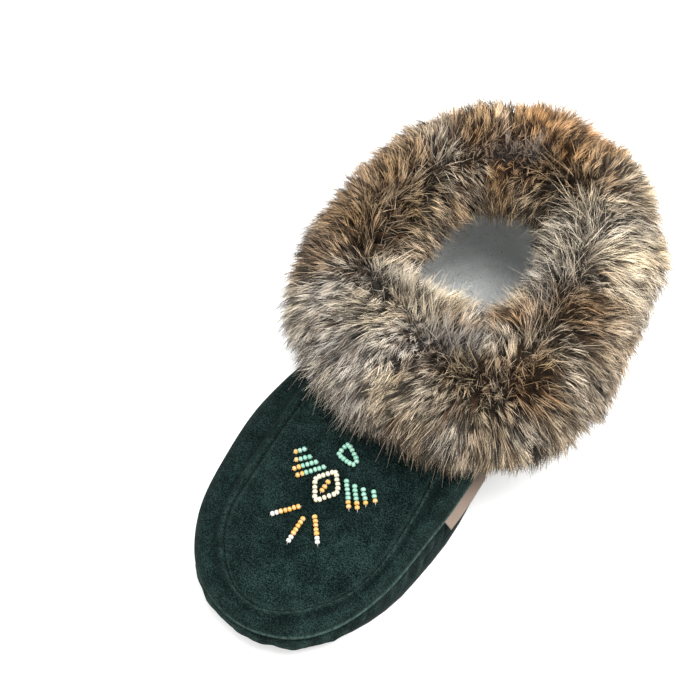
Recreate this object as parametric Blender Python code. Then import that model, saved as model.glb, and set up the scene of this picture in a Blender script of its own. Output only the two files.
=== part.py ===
"""Beaded moccasin with a fur cuff: the wearer's left shoe of a pair, standing empty on its sole.

Frame: toe towards -Y, outer (little toe) side towards +X, +Z up. The origin is on the ground
under the heel seat's middle, on the sole's bottom face. Sizes below are in millimetres, and
new_object() turns them into metres.

Every closed line round the shoe runs with an angle: 0 at the toe tip, +90 degrees on the outer
side, 180 at the heel and -90 on the inner side. Its rows say, for a share of the line's own
length from the toe, where its middle lies and how wide half of it is.
"""

import math

import bmesh
import bpy
import numpy as np

# ---------------------------------------------------------------- driving sizes, millimetres
METRE = 0.001
LENGTH = 250.0  # the upper, from toe to heel
HEEL_BACK = 35.0  # from the origin back to the upper's heel
TOE_TIP = HEEL_BACK - LENGTH
GAP = 0.3  # between pieces that meet
WALL = 1.9  # suede
AROUND = 64  # steps round the shoe

SOLE_THICK = 4.0
SOLE_TOP = SOLE_THICK + GAP  # what stands on the sole starts here
TOE_SPRING = 3.0
SPRING_START = 52.0  # from the toe tip, where the sole starts to lift
HEEL_LIFT = 1.2
ARCH_RISE = 1.4
FLANGE = 10.0  # the wall's turned-in margin under the foot

INSOLE_THICK = 5.5
INSOLE_FLOOR = SOLE_TOP + WALL + GAP + 0.1  # on the wall's turned-in margin
INSOLE_EDGE = WALL + GAP + 0.4  # inside the wall's outer face
PLUG_THICK = 1.8
PLUG_COLUMNS = 8
PLUG_INSET = WALL * 0.2 + GAP  # inside the seam line
THROAT_STEP = 17  # step round the shoe where the plug ends and the collar starts
SEAM_TOE = TOE_TIP + 7.7
COLLAR_BACK = HEEL_BACK - 7.0

BEAD = 2.2  # a bead's diameter
BEAD_WAIST = 0.66  # radius at the joint of two beads, as a share of the bead's radius
BEAD_SIDES = 6
MOTIF = (-1.8, -151.0)  # the diamond's middle on the plug
MOTIF_TURN = -6.0  # degrees, as sewn

# the lid's edge, the widest line of the upper
LID_ROWS = (
    # share from toe, middle x, half width
    (0.02, -2.0, 19.6),
    (0.05, -3.0, 29.6),
    (0.09, -3.5, 37.0),
    (0.16, -4.0, 44.2),
    (0.26, -4.0, 48.0),
    (0.36, -3.5, 49.8),
    (0.46, -1.5, 48.0),
    (0.58, 1.0, 42.5),
    (0.70, 1.5, 38.2),
    (0.82, 0.8, 36.0),
    (0.91, 0.2, 30.8),
    (0.965, 0.0, 22.0),
)
# the plug's seam, which goes on as the collar's edge
SEAM_ROWS = (
    # share from toe, middle x, half width
    (0.03, -1.6, 17.0),
    (0.08, -1.2, 27.5),
    (0.13, -0.6, 32.8),
    (0.20, 0.4, 34.6),
    (0.30, 0.8, 34.8),
    (0.42, 1.2, 33.0),
    (0.56, 0.6, 30.0),
    (0.69, 0.0, 29.0),
    (0.82, 0.0, 28.3),
    (0.91, 0.0, 23.6),
    (0.96, 0.0, 16.8),
)
# heights along the shoe
HEIGHT_ROWS = (
    # share from toe, lid edge, seam or collar, plug's crown, sole's inset, band's puff
    (0.00, 20.0, 26.3, 1.0, 5.6, 0.75),
    (0.08, 21.6, 27.6, 1.8, 5.4, 0.90),
    (0.15, 23.6, 31.0, 2.8, 3.8, 1.00),
    (0.25, 26.3, 36.0, 3.6, 1.6, 1.00),
    (0.35, 28.0, 41.8, 4.2, 1.4, 0.95),
    (0.45, 29.4, 48.5, 4.8, 2.4, 0.75),
    (0.56, 30.6, 56.0, 5.0, 3.8, 0.35),
    (0.70, 31.0, 62.0, 2.0, 4.0, 0.10),
    (0.85, 31.0, 66.5, 0.0, 3.8, 0.00),
    (1.00, 31.0, 70.0, 0.0, 3.8, 0.00),
)
# the lower wall, from the sole up to the lid
WALL_ROWS = (
    # share of its height, share of the sole's inset
    (0.00, 1.00),
    (0.16, 0.52),
    (0.42, 0.16),
    (0.72, 0.14),
    (0.93, 0.42),
)
# the band, from the lid's edge in to the seam: puffed, with a valley and a rolled seam
BAND_ROWS = (
    # share of the way, front puff in mm, share inwards at the heel
    (0.12, 3.2, 0.03),
    (0.28, 4.1, 0.09),
    (0.44, 3.3, 0.20),
    (0.60, 1.7, 0.36),
    (0.73, 0.6, 0.54),
    (0.85, 1.9, 0.74),
    (0.94, 1.5, 0.90),
    (1.00, 0.4, 1.00),
)
SOLE_EDGE_ROWS = (
    # inset more than the wall's foot, height
    (1.2, 0.0),
    (0.2, 0.9),
    (0.0, SOLE_THICK - 1.2),
    (0.5, SOLE_THICK),
)
INSOLE_EDGE_ROWS = (
    # inset more than the wall's foot, height
    (INSOLE_EDGE + 0.6, INSOLE_FLOOR),
    (INSOLE_EDGE, INSOLE_FLOOR + 1.6),
    (INSOLE_EDGE + 1.0, INSOLE_FLOOR + INSOLE_THICK),
    (INSOLE_EDGE + 8.0, INSOLE_FLOOR + INSOLE_THICK - 1.2),
)
LIP = 0.9  # half the height of the lid's cut edge
TUCK = 1.6  # how far the lower wall starts inside the lid's edge

# the fur roll's core round the collar, and over the instep at the front
CUFF_ROWS = (
    # degrees from the front, middle x, y, z, half width, half height
    (0, 8.0, -92.0, 66.0, 31.0, 18.5),
    (34, 36.0, -89.0, 62.0, 30.0, 20.0),
    (60, 52.0, -69.0, 61.0, 26.0, 24.0),
    (90, 55.0, -38.0, 63.0, 22.0, 26.5),
    (118, 52.0, -6.0, 67.0, 22.0, 26.0),
    (150, 34.0, 23.0, 72.0, 23.0, 24.0),
    (180, 5.0, 34.0, 74.0, 24.0, 22.0),
    (212, -24.0, 21.0, 72.0, 22.0, 24.0),
    (242, -40.0, -8.0, 68.0, 20.0, 26.0),
    (270, -43.0, -38.0, 65.0, 20.0, 26.0),
    (298, -39.0, -66.0, 63.0, 21.5, 23.0),
    (328, -20.0, -86.0, 64.0, 25.0, 19.5),
)
CUFF_SECTIONS = 32
CUFF_EASE = 14  # degrees each way that even out the roll's direction at its corners
CUFF_SIDES = 12
CUFF_CLEARANCE = GAP + 0.15  # from the shoe under the roll

# locks of hair on the roll
LOCK_RINGS = (6, 39, 72, 104)  # degrees round the roll, 90 being straight up
LOCKS_AROUND = 16
LOCK_BASE = 7.6  # radius at the root
LOCK_LENGTH = 14.4
LOCK_DEPTH = 3.7  # the root's depth inside the roll
LOCK_RISE = 0.6  # how far the tip stands off the roll, as a share of the length
LOCK_SIDES = 4
LOCK_TWIST = 0.15  # of a side, so that no edge runs along the roll
LOCK_ROWS = (
    # share of the length, share of the root's radius
    (0.00, 1.00),
    (0.50, 0.85),
    (0.85, 0.42),
)
SWAY_TURN = 3  # degrees round the collar that a lock wanders from its even place
SWAY_SIDE = 7  # degrees round the roll

# the cloth tab in the lid's seam on the outer side
TAB_FRONT_ANGLE = 69.6
TAB_BACK_ANGLE = 84.0
TAB_OUT = 3.6
TAB_THICK = 0.9
TAB_DROOP = 3.0
TAB_STEPS = 5

# straight strings of beads, outer half; the inner half mirrors all but the middle ray
STRING_ROWS = (
    # name, first bead across and up, last bead across and up, beads of each colour
    ("wing_1", 5.9, 6.4, 13.2, -1.9, (("mint", 5), ("amber", 2))),
    ("wing_2", 10.1, 6.5, 16.3, -0.2, (("mint", 4), ("amber", 2))),
    ("wing_3", 13.9, 7.2, 18.0, 3.4, (("mint", 3), ("amber", 1))),
    ("wing_4", 17.9, 9.0, 20.6, 6.3, (("mint", 2), ("amber", 1))),
    ("tail_side", 4.3, -13.2, 11.6, -21.2, (("amber", 5), ("white", 2))),
)
MIDDLE_ROWS = (
    ("tail_middle", 0.5, -16.4, 1.2, -27.0, (("amber", 5), ("white", 2))),
    ("eye", -0.4, 1.9, -0.3, -2.5, (("amber", 3),)),
)
# closed strings: corners, and the beads on each side
LOOP_ROWS = (
    ("head", ((-3.4, 20.2), (4.9, 16.0), (4.1, 13.2), (-4.3, 14.0)), (5, 1, 5, 3), "mint"),
    ("diamond", ((-0.4, 7.6), (6.1, 0.5), (0.1, -7.6), (-6.1, 0.6)), (5, 5, 5, 5), "ivory"),
)

# colours, linear
SUEDE = (0.0095, 0.030, 0.026)
FLEECE = (0.56, 0.56, 0.54)
RUBBER = (0.012, 0.016, 0.015)
FUR = (0.22, 0.145, 0.09)
CLOTH = (0.62, 0.44, 0.34)
MINT = (0.25, 0.66, 0.52)
AMBER = (0.86, 0.40, 0.07)
IVORY = (0.88, 0.80, 0.56)
WHITE = (0.86, 0.86, 0.84)


# ---------------------------------------------------------------- lines round the shoe
def smooth(stations, values):
    """A monotone cubic through the values, as a function of the station."""
    x = np.asarray(stations, float)
    y = np.asarray(values, float)
    step = np.diff(x)
    slope = np.diff(y) / step
    tangent = np.zeros(len(x))
    for i in range(1, len(x) - 1):
        if slope[i - 1] * slope[i] > 0:
            near = 2 * step[i] + step[i - 1]
            far = step[i] + 2 * step[i - 1]
            tangent[i] = (near + far) / (near / slope[i - 1] + far / slope[i])
    tangent[0], tangent[-1] = slope[0], slope[-1]

    def at(station):
        i = int(np.clip(np.searchsorted(x, station) - 1, 0, len(step) - 1))
        t = min(max((station - x[i]) / step[i], 0.0), 1.0)
        rise = (3 - 2 * t) * t * t
        bend = t * (1 - t) * step[i]
        return y[i] + (y[i + 1] - y[i]) * rise + bend * ((1 - t) * tangent[i] - t * tangent[i + 1])

    return at


def share_at(angle):
    """The share of a line's length from the toe at an angle round it."""
    return (1 - math.cos(angle)) / 2


class Line:
    """A closed line round the shoe, seen from above."""

    def __init__(self, toe, heel, rows):
        shares = [row[0] for row in rows]
        fullness = [row[2] / (2 * math.sqrt(row[0] * (1 - row[0]))) for row in rows]
        self.toe, self.heel = toe, heel
        self.middle = smooth(shares, [row[1] for row in rows])
        self.fullness = smooth(shares, fullness)

    def point(self, angle):
        share = share_at(angle)
        x = self.middle(share) + self.fullness(share) * math.sin(angle)
        return np.array([x, self.toe + share * (self.heel - self.toe)])

    def outward(self, angle):
        """The unit vector square to the line, pointing away from the foot."""
        step = 0.02
        along = self.point(angle + step) - self.point(angle - step)
        return np.array([along[1], -along[0]]) / np.linalg.norm(along)


LID = Line(TOE_TIP, HEEL_BACK, LID_ROWS)
SEAM = Line(SEAM_TOE, COLLAR_BACK, SEAM_ROWS)
LEVELS = {
    name: smooth([row[0] for row in HEIGHT_ROWS], [row[i + 1] for row in HEIGHT_ROWS])
    for i, name in enumerate(("lid", "seam", "crown", "inset", "puff"))
}
ANGLES = [2 * math.pi * i / AROUND for i in range(AROUND)]


def level(name, angle):
    return LEVELS[name](share_at(angle))


def sole_lift(y):
    """How far the sole's bottom is off the ground: toe spring, arch and rounded heel."""
    toe = max(0.0, (TOE_TIP + SPRING_START - y) / SPRING_START)
    heel = max(0.0, (y - HEEL_BACK + 12.0) / 12.0)
    arch = max(0.0, 1 - ((y + 78.0) / 34.0) ** 2)
    return TOE_SPRING * toe**2 + HEEL_LIFT * heel**2 + ARCH_RISE * arch**2


# ---------------------------------------------------------------- the wall's section
def lid_point(angle, inset, height):
    flat = LID.point(angle) - LID.outward(angle) * inset
    return np.array([flat[0], flat[1], height])


def lower_wall(angle, share, inset_share, deeper=0.0):
    """A point of the lower wall; deeper moves it in from the outer face."""
    foot = lid_point(angle, level("inset", angle) + deeper, SOLE_TOP)
    base = SOLE_TOP + sole_lift(foot[1])
    height = base + (level("lid", angle) - LIP - base) * share
    inset = level("inset", angle) * inset_share + deeper
    return lid_point(angle, inset, height)


def band(angle, share, puff, heel_share):
    """A point of the band between the lid's edge and the seam."""
    front = level("puff", angle)
    inwards = share * front + heel_share * (1 - front)
    start = lid_point(angle, 0.2, level("lid", angle) + LIP)
    flat = SEAM.point(angle)
    end = np.array([flat[0], flat[1], level("seam", angle)])
    point = start + (end - start) * np.array([inwards, inwards, share])
    width = np.linalg.norm(end[:2] - start[:2])
    return point + np.array([0, 0, puff * front * min(1.0, width / 13.0)])


def thickened(points, angle, depth):
    """The section moved square to itself, inwards for a positive depth."""
    out = LID.outward(angle)
    moved = []
    for i, point in enumerate(points):
        along = points[min(i + 1, len(points) - 1)] - points[max(i - 1, 0)]
        run = along[:2] @ out
        size = math.hypot(run, along[2])
        inward = np.array([-out[0] * along[2], -out[1] * along[2], run]) / size
        moved.append(point + inward * depth)
    return moved


def outer_section(angle):
    """The outer face from the sole to the seam, with the lid's overlapping edge."""
    lower = [lower_wall(angle, share, inset) for share, inset in WALL_ROWS]
    tuck = lid_point(angle, TUCK, level("lid", angle) - LIP)
    edge = [
        lid_point(angle, 0.0, level("lid", angle) - LIP * 0.9),
        lid_point(angle, -0.1, level("lid", angle) + LIP * 0.3),
    ]
    return lower + [tuck] + edge + [band(angle, *row) for row in BAND_ROWS]


def inner_section(angle):
    """The inner face from the seam down to the sole."""
    upper_part = [band(angle, share, puff * 0.9, heel) for share, puff, heel in BAND_ROWS[::-2]]
    upper_part = thickened(upper_part, angle, -WALL)
    if share_at(angle) < share_at(ANGLES[THROAT_STEP + 1]):
        # along the plug the wall's cut edge stands straight, so the two meet edge to edge
        upper_part[0] = band(angle, *BAND_ROWS[-1]) - np.array([0, 0, WALL])
    lower_part = [lower_wall(angle, share, inset, WALL) for share, inset in WALL_ROWS[::-1]]
    lower_part[0] = lid_point(angle, TUCK + WALL * 1.1, level("lid", angle) - LIP * 2)
    lower_part[-1][2] += WALL
    return upper_part + lower_part


# ---------------------------------------------------------------- meshes
def new_object(name, points, faces, finish):
    """A mesh object of the points, in millimetres, with its faces turned outwards."""
    shape = bmesh.new()
    corners = [shape.verts.new([float(value) * METRE for value in point]) for point in points]
    for face in faces:
        shape.faces.new([corners[i] for i in face])
    bmesh.ops.recalc_face_normals(shape, faces=shape.faces)
    mesh = bpy.data.meshes.new(name)
    shape.to_mesh(mesh)
    shape.free()
    mesh.shade_smooth()
    mesh.set_sharp_from_angle(angle=math.radians(40))
    if finish:
        mesh.materials.append(finish)
    obj = bpy.data.objects.new(name, mesh)
    bpy.context.scene.collection.objects.link(obj)
    return obj


def ring_faces(rings, size, cyclic=False):
    """Quads between rings of the same size, each ring closed on itself."""
    faces = []
    for row in range(rings if cyclic else rings - 1):
        low, high = row * size, (row + 1) % rings * size
        for i in range(size):
            j = (i + 1) % size
            faces.append((low + i, low + j, high + j, high + i))
    return faces


def cap_faces(first):
    """Cross-rows over a ring round the shoe, which keep its level true along the foot."""
    half = AROUND // 2
    faces = [(first, first + 1, first + AROUND - 1)]
    for i in range(1, half - 1):
        faces.append((first + i, first + i + 1, first + AROUND - i - 1, first + AROUND - i))
    faces.append((first + half - 1, first + half, first + half + 1))
    return faces


def slab(name, rows, finish):
    """A closed slab on the ground's line, from rows of (inset from the lid's edge, height)."""
    points = []
    for more, height in rows:
        for angle in ANGLES:
            point = lid_point(angle, level("inset", angle) + more, height)
            point[2] += sole_lift(point[1])
            points.append(point)
    faces = ring_faces(len(rows), AROUND) + cap_faces(0) + cap_faces((len(rows) - 1) * AROUND)
    return new_object(name, points, faces, finish)


def across(angles, columns, place):
    """Rows of points from side to side, with a point at each end: (points, faces).

    place(angle, c) gives the point at c from -1, inner side, to +1, outer side.
    """
    points = [place(0.0, 0.0)]
    for angle in angles:
        points += [place(angle, 2 * k / columns - 1) for k in range(columns + 1)]
    faces = [(0, 1 + k, 2 + k) for k in range(columns)]
    for row in range(len(angles) - 1):
        near, far = 1 + row * (columns + 1), 1 + (row + 1) * (columns + 1)
        faces += [(near + k, far + k, far + k + 1, near + k + 1) for k in range(columns)]
    return points, faces


def top_point(angle, c, inset=0.0, lift=0.0):
    """The plug's surface, carried on across the collar's mouth."""
    inner = SEAM.point(-angle) - SEAM.outward(-angle) * inset
    outer = SEAM.point(angle) - SEAM.outward(angle) * inset
    flat = inner + (outer - inner) * (c + 1) / 2
    height = level("seam", angle) + level("crown", angle) * (1 - c * c) + lift
    return np.array([flat[0], flat[1], height])


def closed_sheet(points, faces, thickness):
    """A sheet given its thickness downwards, with its rim closed."""
    count = len(points)
    below = [point - np.array([0, 0, thickness]) for point in points]
    edges = [edge for face in faces for edge in zip(face, face[1:] + face[:1])]
    shared = {(b, a) for a, b in edges}
    rim = [edge for edge in edges if edge not in shared]
    under = [tuple(i + count for i in face[::-1]) for face in faces]
    walls = [(b, a, a + count, b + count) for a, b in rim]
    return points + below, faces + under + walls


# ---------------------------------------------------------------- finishes
def principled(name, colour, roughness, metallic=0.0):
    finish = bpy.data.materials.new(name)
    finish.use_nodes = True
    shader = finish.node_tree.nodes["Principled BSDF"]
    shader.inputs["Base Color"].default_value = (*colour, 1)
    shader.inputs["Roughness"].default_value = roughness
    shader.inputs["Metallic"].default_value = metallic
    return finish


# ---------------------------------------------------------------- sub-parts
def make_sole(finish):
    """The thin outsole: true outline, toe spring, arch and a rounded edge."""
    return slab("sole", SOLE_EDGE_ROWS, finish)


def make_upper(finish):
    """One hollow wall, open at the plug and collar and under the foot."""
    sections = []
    for angle in ANGLES:
        flange = lower_wall(angle, 0.0, 1.0, FLANGE)
        outer = outer_section(angle)
        inner = inner_section(angle)
        flange_top = flange + np.array([0, 0, WALL])
        sections.append([flange] + outer + inner + [flange_top])
    rings = len(sections[0])
    points = [sections[i][ring] for ring in range(rings) for i in range(AROUND)]
    return new_object("upper", points, ring_faces(rings, AROUND, cyclic=True), finish)


def make_plug(finish):
    """The flat vamp panel inside the rolled seam."""

    def place(angle, c):
        return top_point(angle, c, PLUG_INSET)

    points, faces = across(ANGLES[1 : THROAT_STEP + 1], PLUG_COLUMNS, place)
    points, faces = closed_sheet(points, faces, PLUG_THICK)
    return new_object("plug", points, faces, finish)


def make_insole(finish):
    """The fleece footbed, inside the wall and over its turned-in margin."""
    return slab("insole", INSOLE_EDGE_ROWS, finish)


# ---------------------------------------------------------------- fur
def make_last(clearance):
    """The closed form of the shoe without its cuff, grown by the clearance. It only cuts."""
    sections = []
    for angle in ANGLES:
        face = [lower_wall(angle, share, inset) for share, inset in WALL_ROWS[:4]]
        face.append(lid_point(angle, -0.1, level("lid", angle)))
        face += [band(angle, *row) for row in BAND_ROWS]
        sections.append(thickened(face, angle, -clearance))
    rings = len(sections[0])
    points = [sections[i][ring] for ring in range(rings) for i in range(AROUND)]
    faces = ring_faces(rings, AROUND)
    half = AROUND // 2
    top = (rings - 1) * AROUND
    rows = [[top]]
    for i in range(1, half):
        row = [top + AROUND - i]
        for k in range(1, PLUG_COLUMNS):
            points.append(top_point(ANGLES[i], 2 * k / PLUG_COLUMNS - 1, PLUG_INSET, clearance))
            row.append(len(points) - 1)
        rows.append(row + [top + i])
    rows.append([top + half])
    for near, far in zip(rows, rows[1:]):
        for k in range(PLUG_COLUMNS):
            corners = [near[min(k, len(near) - 1)], near[min(k + 1, len(near) - 1)]]
            corners += [far[min(k + 1, len(far) - 1)], far[min(k, len(far) - 1)]]
            faces.append(tuple(dict.fromkeys(corners)))
    faces.append(tuple(range(AROUND - 1, -1, -1)))
    last = new_object("last_cutter", points, faces, None)
    last.hide_render = True
    last.display_type = "WIRE"
    return last


def cuff_tables():
    """The roll's rows as functions of the turn: middle x, y, z, half width and half height."""
    degrees = [row[0] for row in CUFF_ROWS]
    turn = [d - 360 for d in degrees[-3:]] + degrees + [d + 360 for d in degrees[:3]]
    columns = []
    for i in range(1, 6):
        values = [row[i] for row in CUFF_ROWS]
        columns.append(smooth(turn, values[-3:] + values + values[:3]))
    return columns


CUFF = cuff_tables()


def cuff_point(turn, side, grow=0.0):
    """A point of the roll: turn goes round the collar, side round the roll, in degrees."""
    x, y, z, half_width, half_height = (column(turn % 360) for column in CUFF)
    steps = ((turn + CUFF_EASE) % 360, (turn - CUFF_EASE) % 360)
    ahead = np.array([CUFF[i](steps[0]) - CUFF[i](steps[1]) for i in (0, 1)])
    out = np.array([ahead[1], -ahead[0]]) / np.linalg.norm(ahead)
    run = (half_width + grow) * math.cos(math.radians(side))
    rise = (half_height + grow) * math.sin(math.radians(side))
    return np.array([x + out[0] * run, y + out[1] * run, z + rise])


def make_lock(turn, side, size):
    """One lock of hair, a bent cone that leans outwards and down the roll."""
    root = cuff_point(turn, side, -LOCK_DEPTH)
    normal = cuff_point(turn, side, 10.0) - root
    normal /= np.linalg.norm(normal)
    fall = cuff_point(turn, side - 12) - cuff_point(turn, side + 12)
    fall /= np.linalg.norm(fall)
    beside = np.cross(normal, fall)
    reach = LOCK_LENGTH * size
    points = []
    for share, girth in LOCK_ROWS:
        middle = root + (normal * LOCK_RISE * share * (2 - share) + fall * share**2) * reach
        ahead = 2 * (normal * LOCK_RISE * (1 - share) + fall * share)
        lean = np.cross(beside, ahead / np.linalg.norm(ahead))
        for k in range(LOCK_SIDES):
            a = 2 * math.pi * (k + LOCK_TWIST) / LOCK_SIDES
            offset = lean * math.cos(a) + beside * math.sin(a)
            points.append(middle + offset * LOCK_BASE * size * girth)
    points.append(root + (normal * LOCK_RISE + fall) * reach)
    tip = len(points) - 1
    last_row = tip - LOCK_SIDES
    faces = ring_faces(len(LOCK_ROWS), LOCK_SIDES)
    faces.append(tuple(range(LOCK_SIDES - 1, -1, -1)))
    for k in range(LOCK_SIDES):
        faces.append((last_row + k, last_row + (k + 1) % LOCK_SIDES, tip))
    return points, faces


def join_with(obj, other, operation):
    """Adds an exact Boolean with another object, which is hidden as a guide."""
    other.hide_render = True
    other.display_type = "WIRE"
    cut = obj.modifiers.new(operation.title(), "BOOLEAN")
    cut.operation = operation
    cut.solver = "EXACT"
    cut.use_self = operation == "UNION"
    cut.object = other


def make_fur_cuff(finish):
    """The fur roll: a round core, locks fused to it, cut to lie on the shoe."""
    points = []
    for i in range(CUFF_SECTIONS):
        turn = 360 * i / CUFF_SECTIONS
        points += [cuff_point(turn, 360 * k / CUFF_SIDES) for k in range(CUFF_SIDES)]
    cuff = new_object("fur_cuff", points, ring_faces(CUFF_SECTIONS, CUFF_SIDES, True), finish)

    lock_points, lock_faces = [], []
    for row, side in enumerate(LOCK_RINGS):
        for i in range(LOCKS_AROUND):
            turn = 360 * (i + 0.5 * (row % 2)) / LOCKS_AROUND
            sway = math.sin(turn * 0.11 + row * 2.1)
            size = 0.92 + 0.14 * math.sin(i * 2.4 + row)
            points, faces = make_lock(turn + SWAY_TURN * sway, side + SWAY_SIDE * sway, size)
            start = len(lock_points)
            lock_points += points
            lock_faces += [tuple(start + k for k in face) for face in faces]
    locks = new_object("fur_locks_guide", lock_points, lock_faces, None)
    join_with(cuff, locks, "UNION")
    join_with(cuff, make_last(CUFF_CLEARANCE), "DIFFERENCE")
    return cuff


# ---------------------------------------------------------------- trim
def make_side_tab(finish):
    """The small cloth tab that stands out of the lid's seam on the outer side."""
    points = []
    for out, drop in ((GAP, 0.0), (TAB_OUT, TAB_DROOP)):
        for i in range(TAB_STEPS + 1):
            degrees = TAB_FRONT_ANGLE + (TAB_BACK_ANGLE - TAB_FRONT_ANGLE) * i / TAB_STEPS
            angle = math.radians(degrees)
            top = level("lid", angle) + TAB_THICK / 2 - drop
            points.append(lid_point(angle, -out - 0.1, top))
    count = TAB_STEPS + 1
    faces = [(i, i + 1, count + i + 1, count + i) for i in range(TAB_STEPS)]
    points, faces = closed_sheet(points, faces, TAB_THICK)
    return new_object("side_tab", points, faces, finish)


def plug_surface(across_by, up_by):
    """A point on the plug, from a place in the motif's own plane."""
    turn = math.radians(MOTIF_TURN)
    x = MOTIF[0] + across_by * math.cos(turn) - up_by * math.sin(turn)
    y = MOTIF[1] + across_by * math.sin(turn) + up_by * math.cos(turn)
    angle = math.acos(1 - 2 * (y - SEAM_TOE) / (COLLAR_BACK - SEAM_TOE))
    inner, outer = SEAM.point(-angle)[0], SEAM.point(angle)[0]
    return top_point(angle, 2 * (x - inner) / (outer - inner) - 1)


def bead_centres(corners, counts):
    """Bead middles along straight sides; a closed outline shares its corners' beads."""
    centres = []
    for (start, end), count in zip(zip(corners, corners[1:]), counts):
        for i in range(count):
            share = i / count
            centres.append([a + (b - a) * share for a, b in zip(start, end)])
    return centres


def make_string(name, centres, closed, finishes):
    """One string of beads lying on the plug, each bead a swell of one thin rod."""
    radius = BEAD / 2
    lift = np.array([0, 0, radius + GAP])
    middles = [plug_surface(*centre) + lift for centre in centres]
    rings, count = [], len(middles)
    for i, middle in enumerate(middles):
        before = middles[i - 1] if i or closed else 2 * middle - middles[i + 1]
        after = middles[(i + 1) % count] if closed or i < count - 1 else 2 * middle - before
        rings.append(((before + middle) / 2, BEAD_WAIST, after - before))
        rings.append((middle, 1.0, after - before))
        if not closed and i == count - 1:
            rings.append(((middle + after) / 2, BEAD_WAIST, after - before))
    points = []
    for centre, girth, along in rings:
        along = along / np.linalg.norm(along)
        beside = np.cross(along, [0, 0, 1])
        beside /= np.linalg.norm(beside)
        above = np.cross(beside, along)
        for k in range(BEAD_SIDES):
            a = 2 * math.pi * (k + 0.5) / BEAD_SIDES
            points.append(centre + (beside * math.cos(a) + above * math.sin(a)) * radius * girth)
    faces = ring_faces(len(rings), BEAD_SIDES, closed)
    if not closed:
        last_row = len(points) - BEAD_SIDES
        faces.append(tuple(range(BEAD_SIDES - 1, -1, -1)))
        faces.append(tuple(range(last_row, len(points))))
    string = new_object(name, points, faces, None)
    slots = []
    for finish in finishes:
        if finish.name not in string.data.materials:
            string.data.materials.append(finish)
        slots.append(string.data.materials.find(finish.name))
    for face in string.data.polygons:
        ring = min(face.index // BEAD_SIDES, 2 * len(finishes) - 1)
        face.material_index = slots[ring // 2]
    return string


def make_beadwork():
    """The motif on the plug: head, two wings, diamond with its eye, and three tail rays."""
    glass = {
        "mint": principled("mint glass", MINT, 0.2),
        "amber": principled("amber glass", AMBER, 0.25),
        "ivory": principled("ivory glass", IVORY, 0.2),
        "white": principled("white glass", WHITE, 0.2),
    }
    for name, corners, counts, colour in LOOP_ROWS:
        centres = bead_centres(corners + corners[:1], counts)
        make_string("beads_" + name, centres, True, [glass[colour]] * len(centres))
    sided = [(side, row) for row in STRING_ROWS for side in (("outer", 1), ("inner", -1))]
    sided += [((None, 1), row) for row in MIDDLE_ROWS]
    for (side, mirror), (name, x0, y0, x1, y1, colours) in sided:
        finishes = [glass[colour] for colour, count in colours for _ in range(count)]
        last = len(finishes) - 1
        centres = [
            (mirror * (x0 + (x1 - x0) * i / last), y0 + (y1 - y0) * i / last)
            for i in range(last + 1)
        ]
        label = "beads_" + name + ("_" + side if side else "")
        make_string(label, centres, False, finishes)


def main():
    for obj in list(bpy.data.objects):
        bpy.data.objects.remove(obj, do_unlink=True)
    suede = principled("green suede", SUEDE, 0.95)
    make_sole(principled("dark rubber", RUBBER, 0.7))
    make_upper(suede)
    make_plug(suede)
    make_insole(principled("grey fleece", FLEECE, 0.95))
    make_fur_cuff(principled("rabbit fur", FUR, 0.9))
    make_side_tab(principled("beige cloth", CLOTH, 0.9))
    make_beadwork()


if __name__ == "__main__":
    main()
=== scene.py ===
"""Looks of the beaded moccasin: suede upper, beaded vamp, fleece inside and a deep fur roll.

The frame has the toe towards -Y, the outer (little toe) side towards +X and +Z up. Sizes here are
in millimetres until build_object() turns them into metres.

A closed line round the shoe runs with an angle in radians: 0 at the toe tip, +90 degrees on the
outer side, 180 at the heel, -90 on the inner side. The fur roll has its own two directions, both
in degrees: turn goes round the collar from the front, over the outer side, and side goes round the
roll, 0 being away from the foot and 90 straight up.
"""

import logging
import math
from dataclasses import dataclass
from enum import Enum
from typing import Any, Callable, Sequence

import bmesh
import bpy
import numpy as np
from mathutils import Matrix, Vector
from mathutils.bvhtree import BVHTree


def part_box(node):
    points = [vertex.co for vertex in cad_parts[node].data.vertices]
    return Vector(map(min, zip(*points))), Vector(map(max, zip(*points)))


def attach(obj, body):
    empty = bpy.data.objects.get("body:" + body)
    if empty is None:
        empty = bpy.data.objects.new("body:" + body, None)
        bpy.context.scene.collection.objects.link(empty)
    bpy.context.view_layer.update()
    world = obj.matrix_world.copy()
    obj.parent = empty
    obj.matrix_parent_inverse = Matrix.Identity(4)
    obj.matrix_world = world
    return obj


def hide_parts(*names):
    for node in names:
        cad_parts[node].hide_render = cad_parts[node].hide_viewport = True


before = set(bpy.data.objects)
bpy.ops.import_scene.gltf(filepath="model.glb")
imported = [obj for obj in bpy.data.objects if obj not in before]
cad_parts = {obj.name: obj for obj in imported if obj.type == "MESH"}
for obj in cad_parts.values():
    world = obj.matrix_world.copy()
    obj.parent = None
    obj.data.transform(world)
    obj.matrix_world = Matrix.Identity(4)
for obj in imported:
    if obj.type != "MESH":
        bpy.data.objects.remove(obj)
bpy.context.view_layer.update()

MM = 0.001
ROOT = "root"
LOG = logging.getLogger("moccasin")
Array = np.ndarray
Triple = tuple[float, float, float]
Settings = dict[str, Any] | None
Object = bpy.types.Object
Material = bpy.types.Material


def srgb(*parts: float) -> Triple:
    """A colour given on the usual 0 to 255 scale, as the linear one that shaders use."""
    shares = [part / 255 for part in parts]
    return tuple(s / 12.92 if s <= 0.04045 else ((s + 0.055) / 1.055) ** 2.4 for s in shares)


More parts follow.
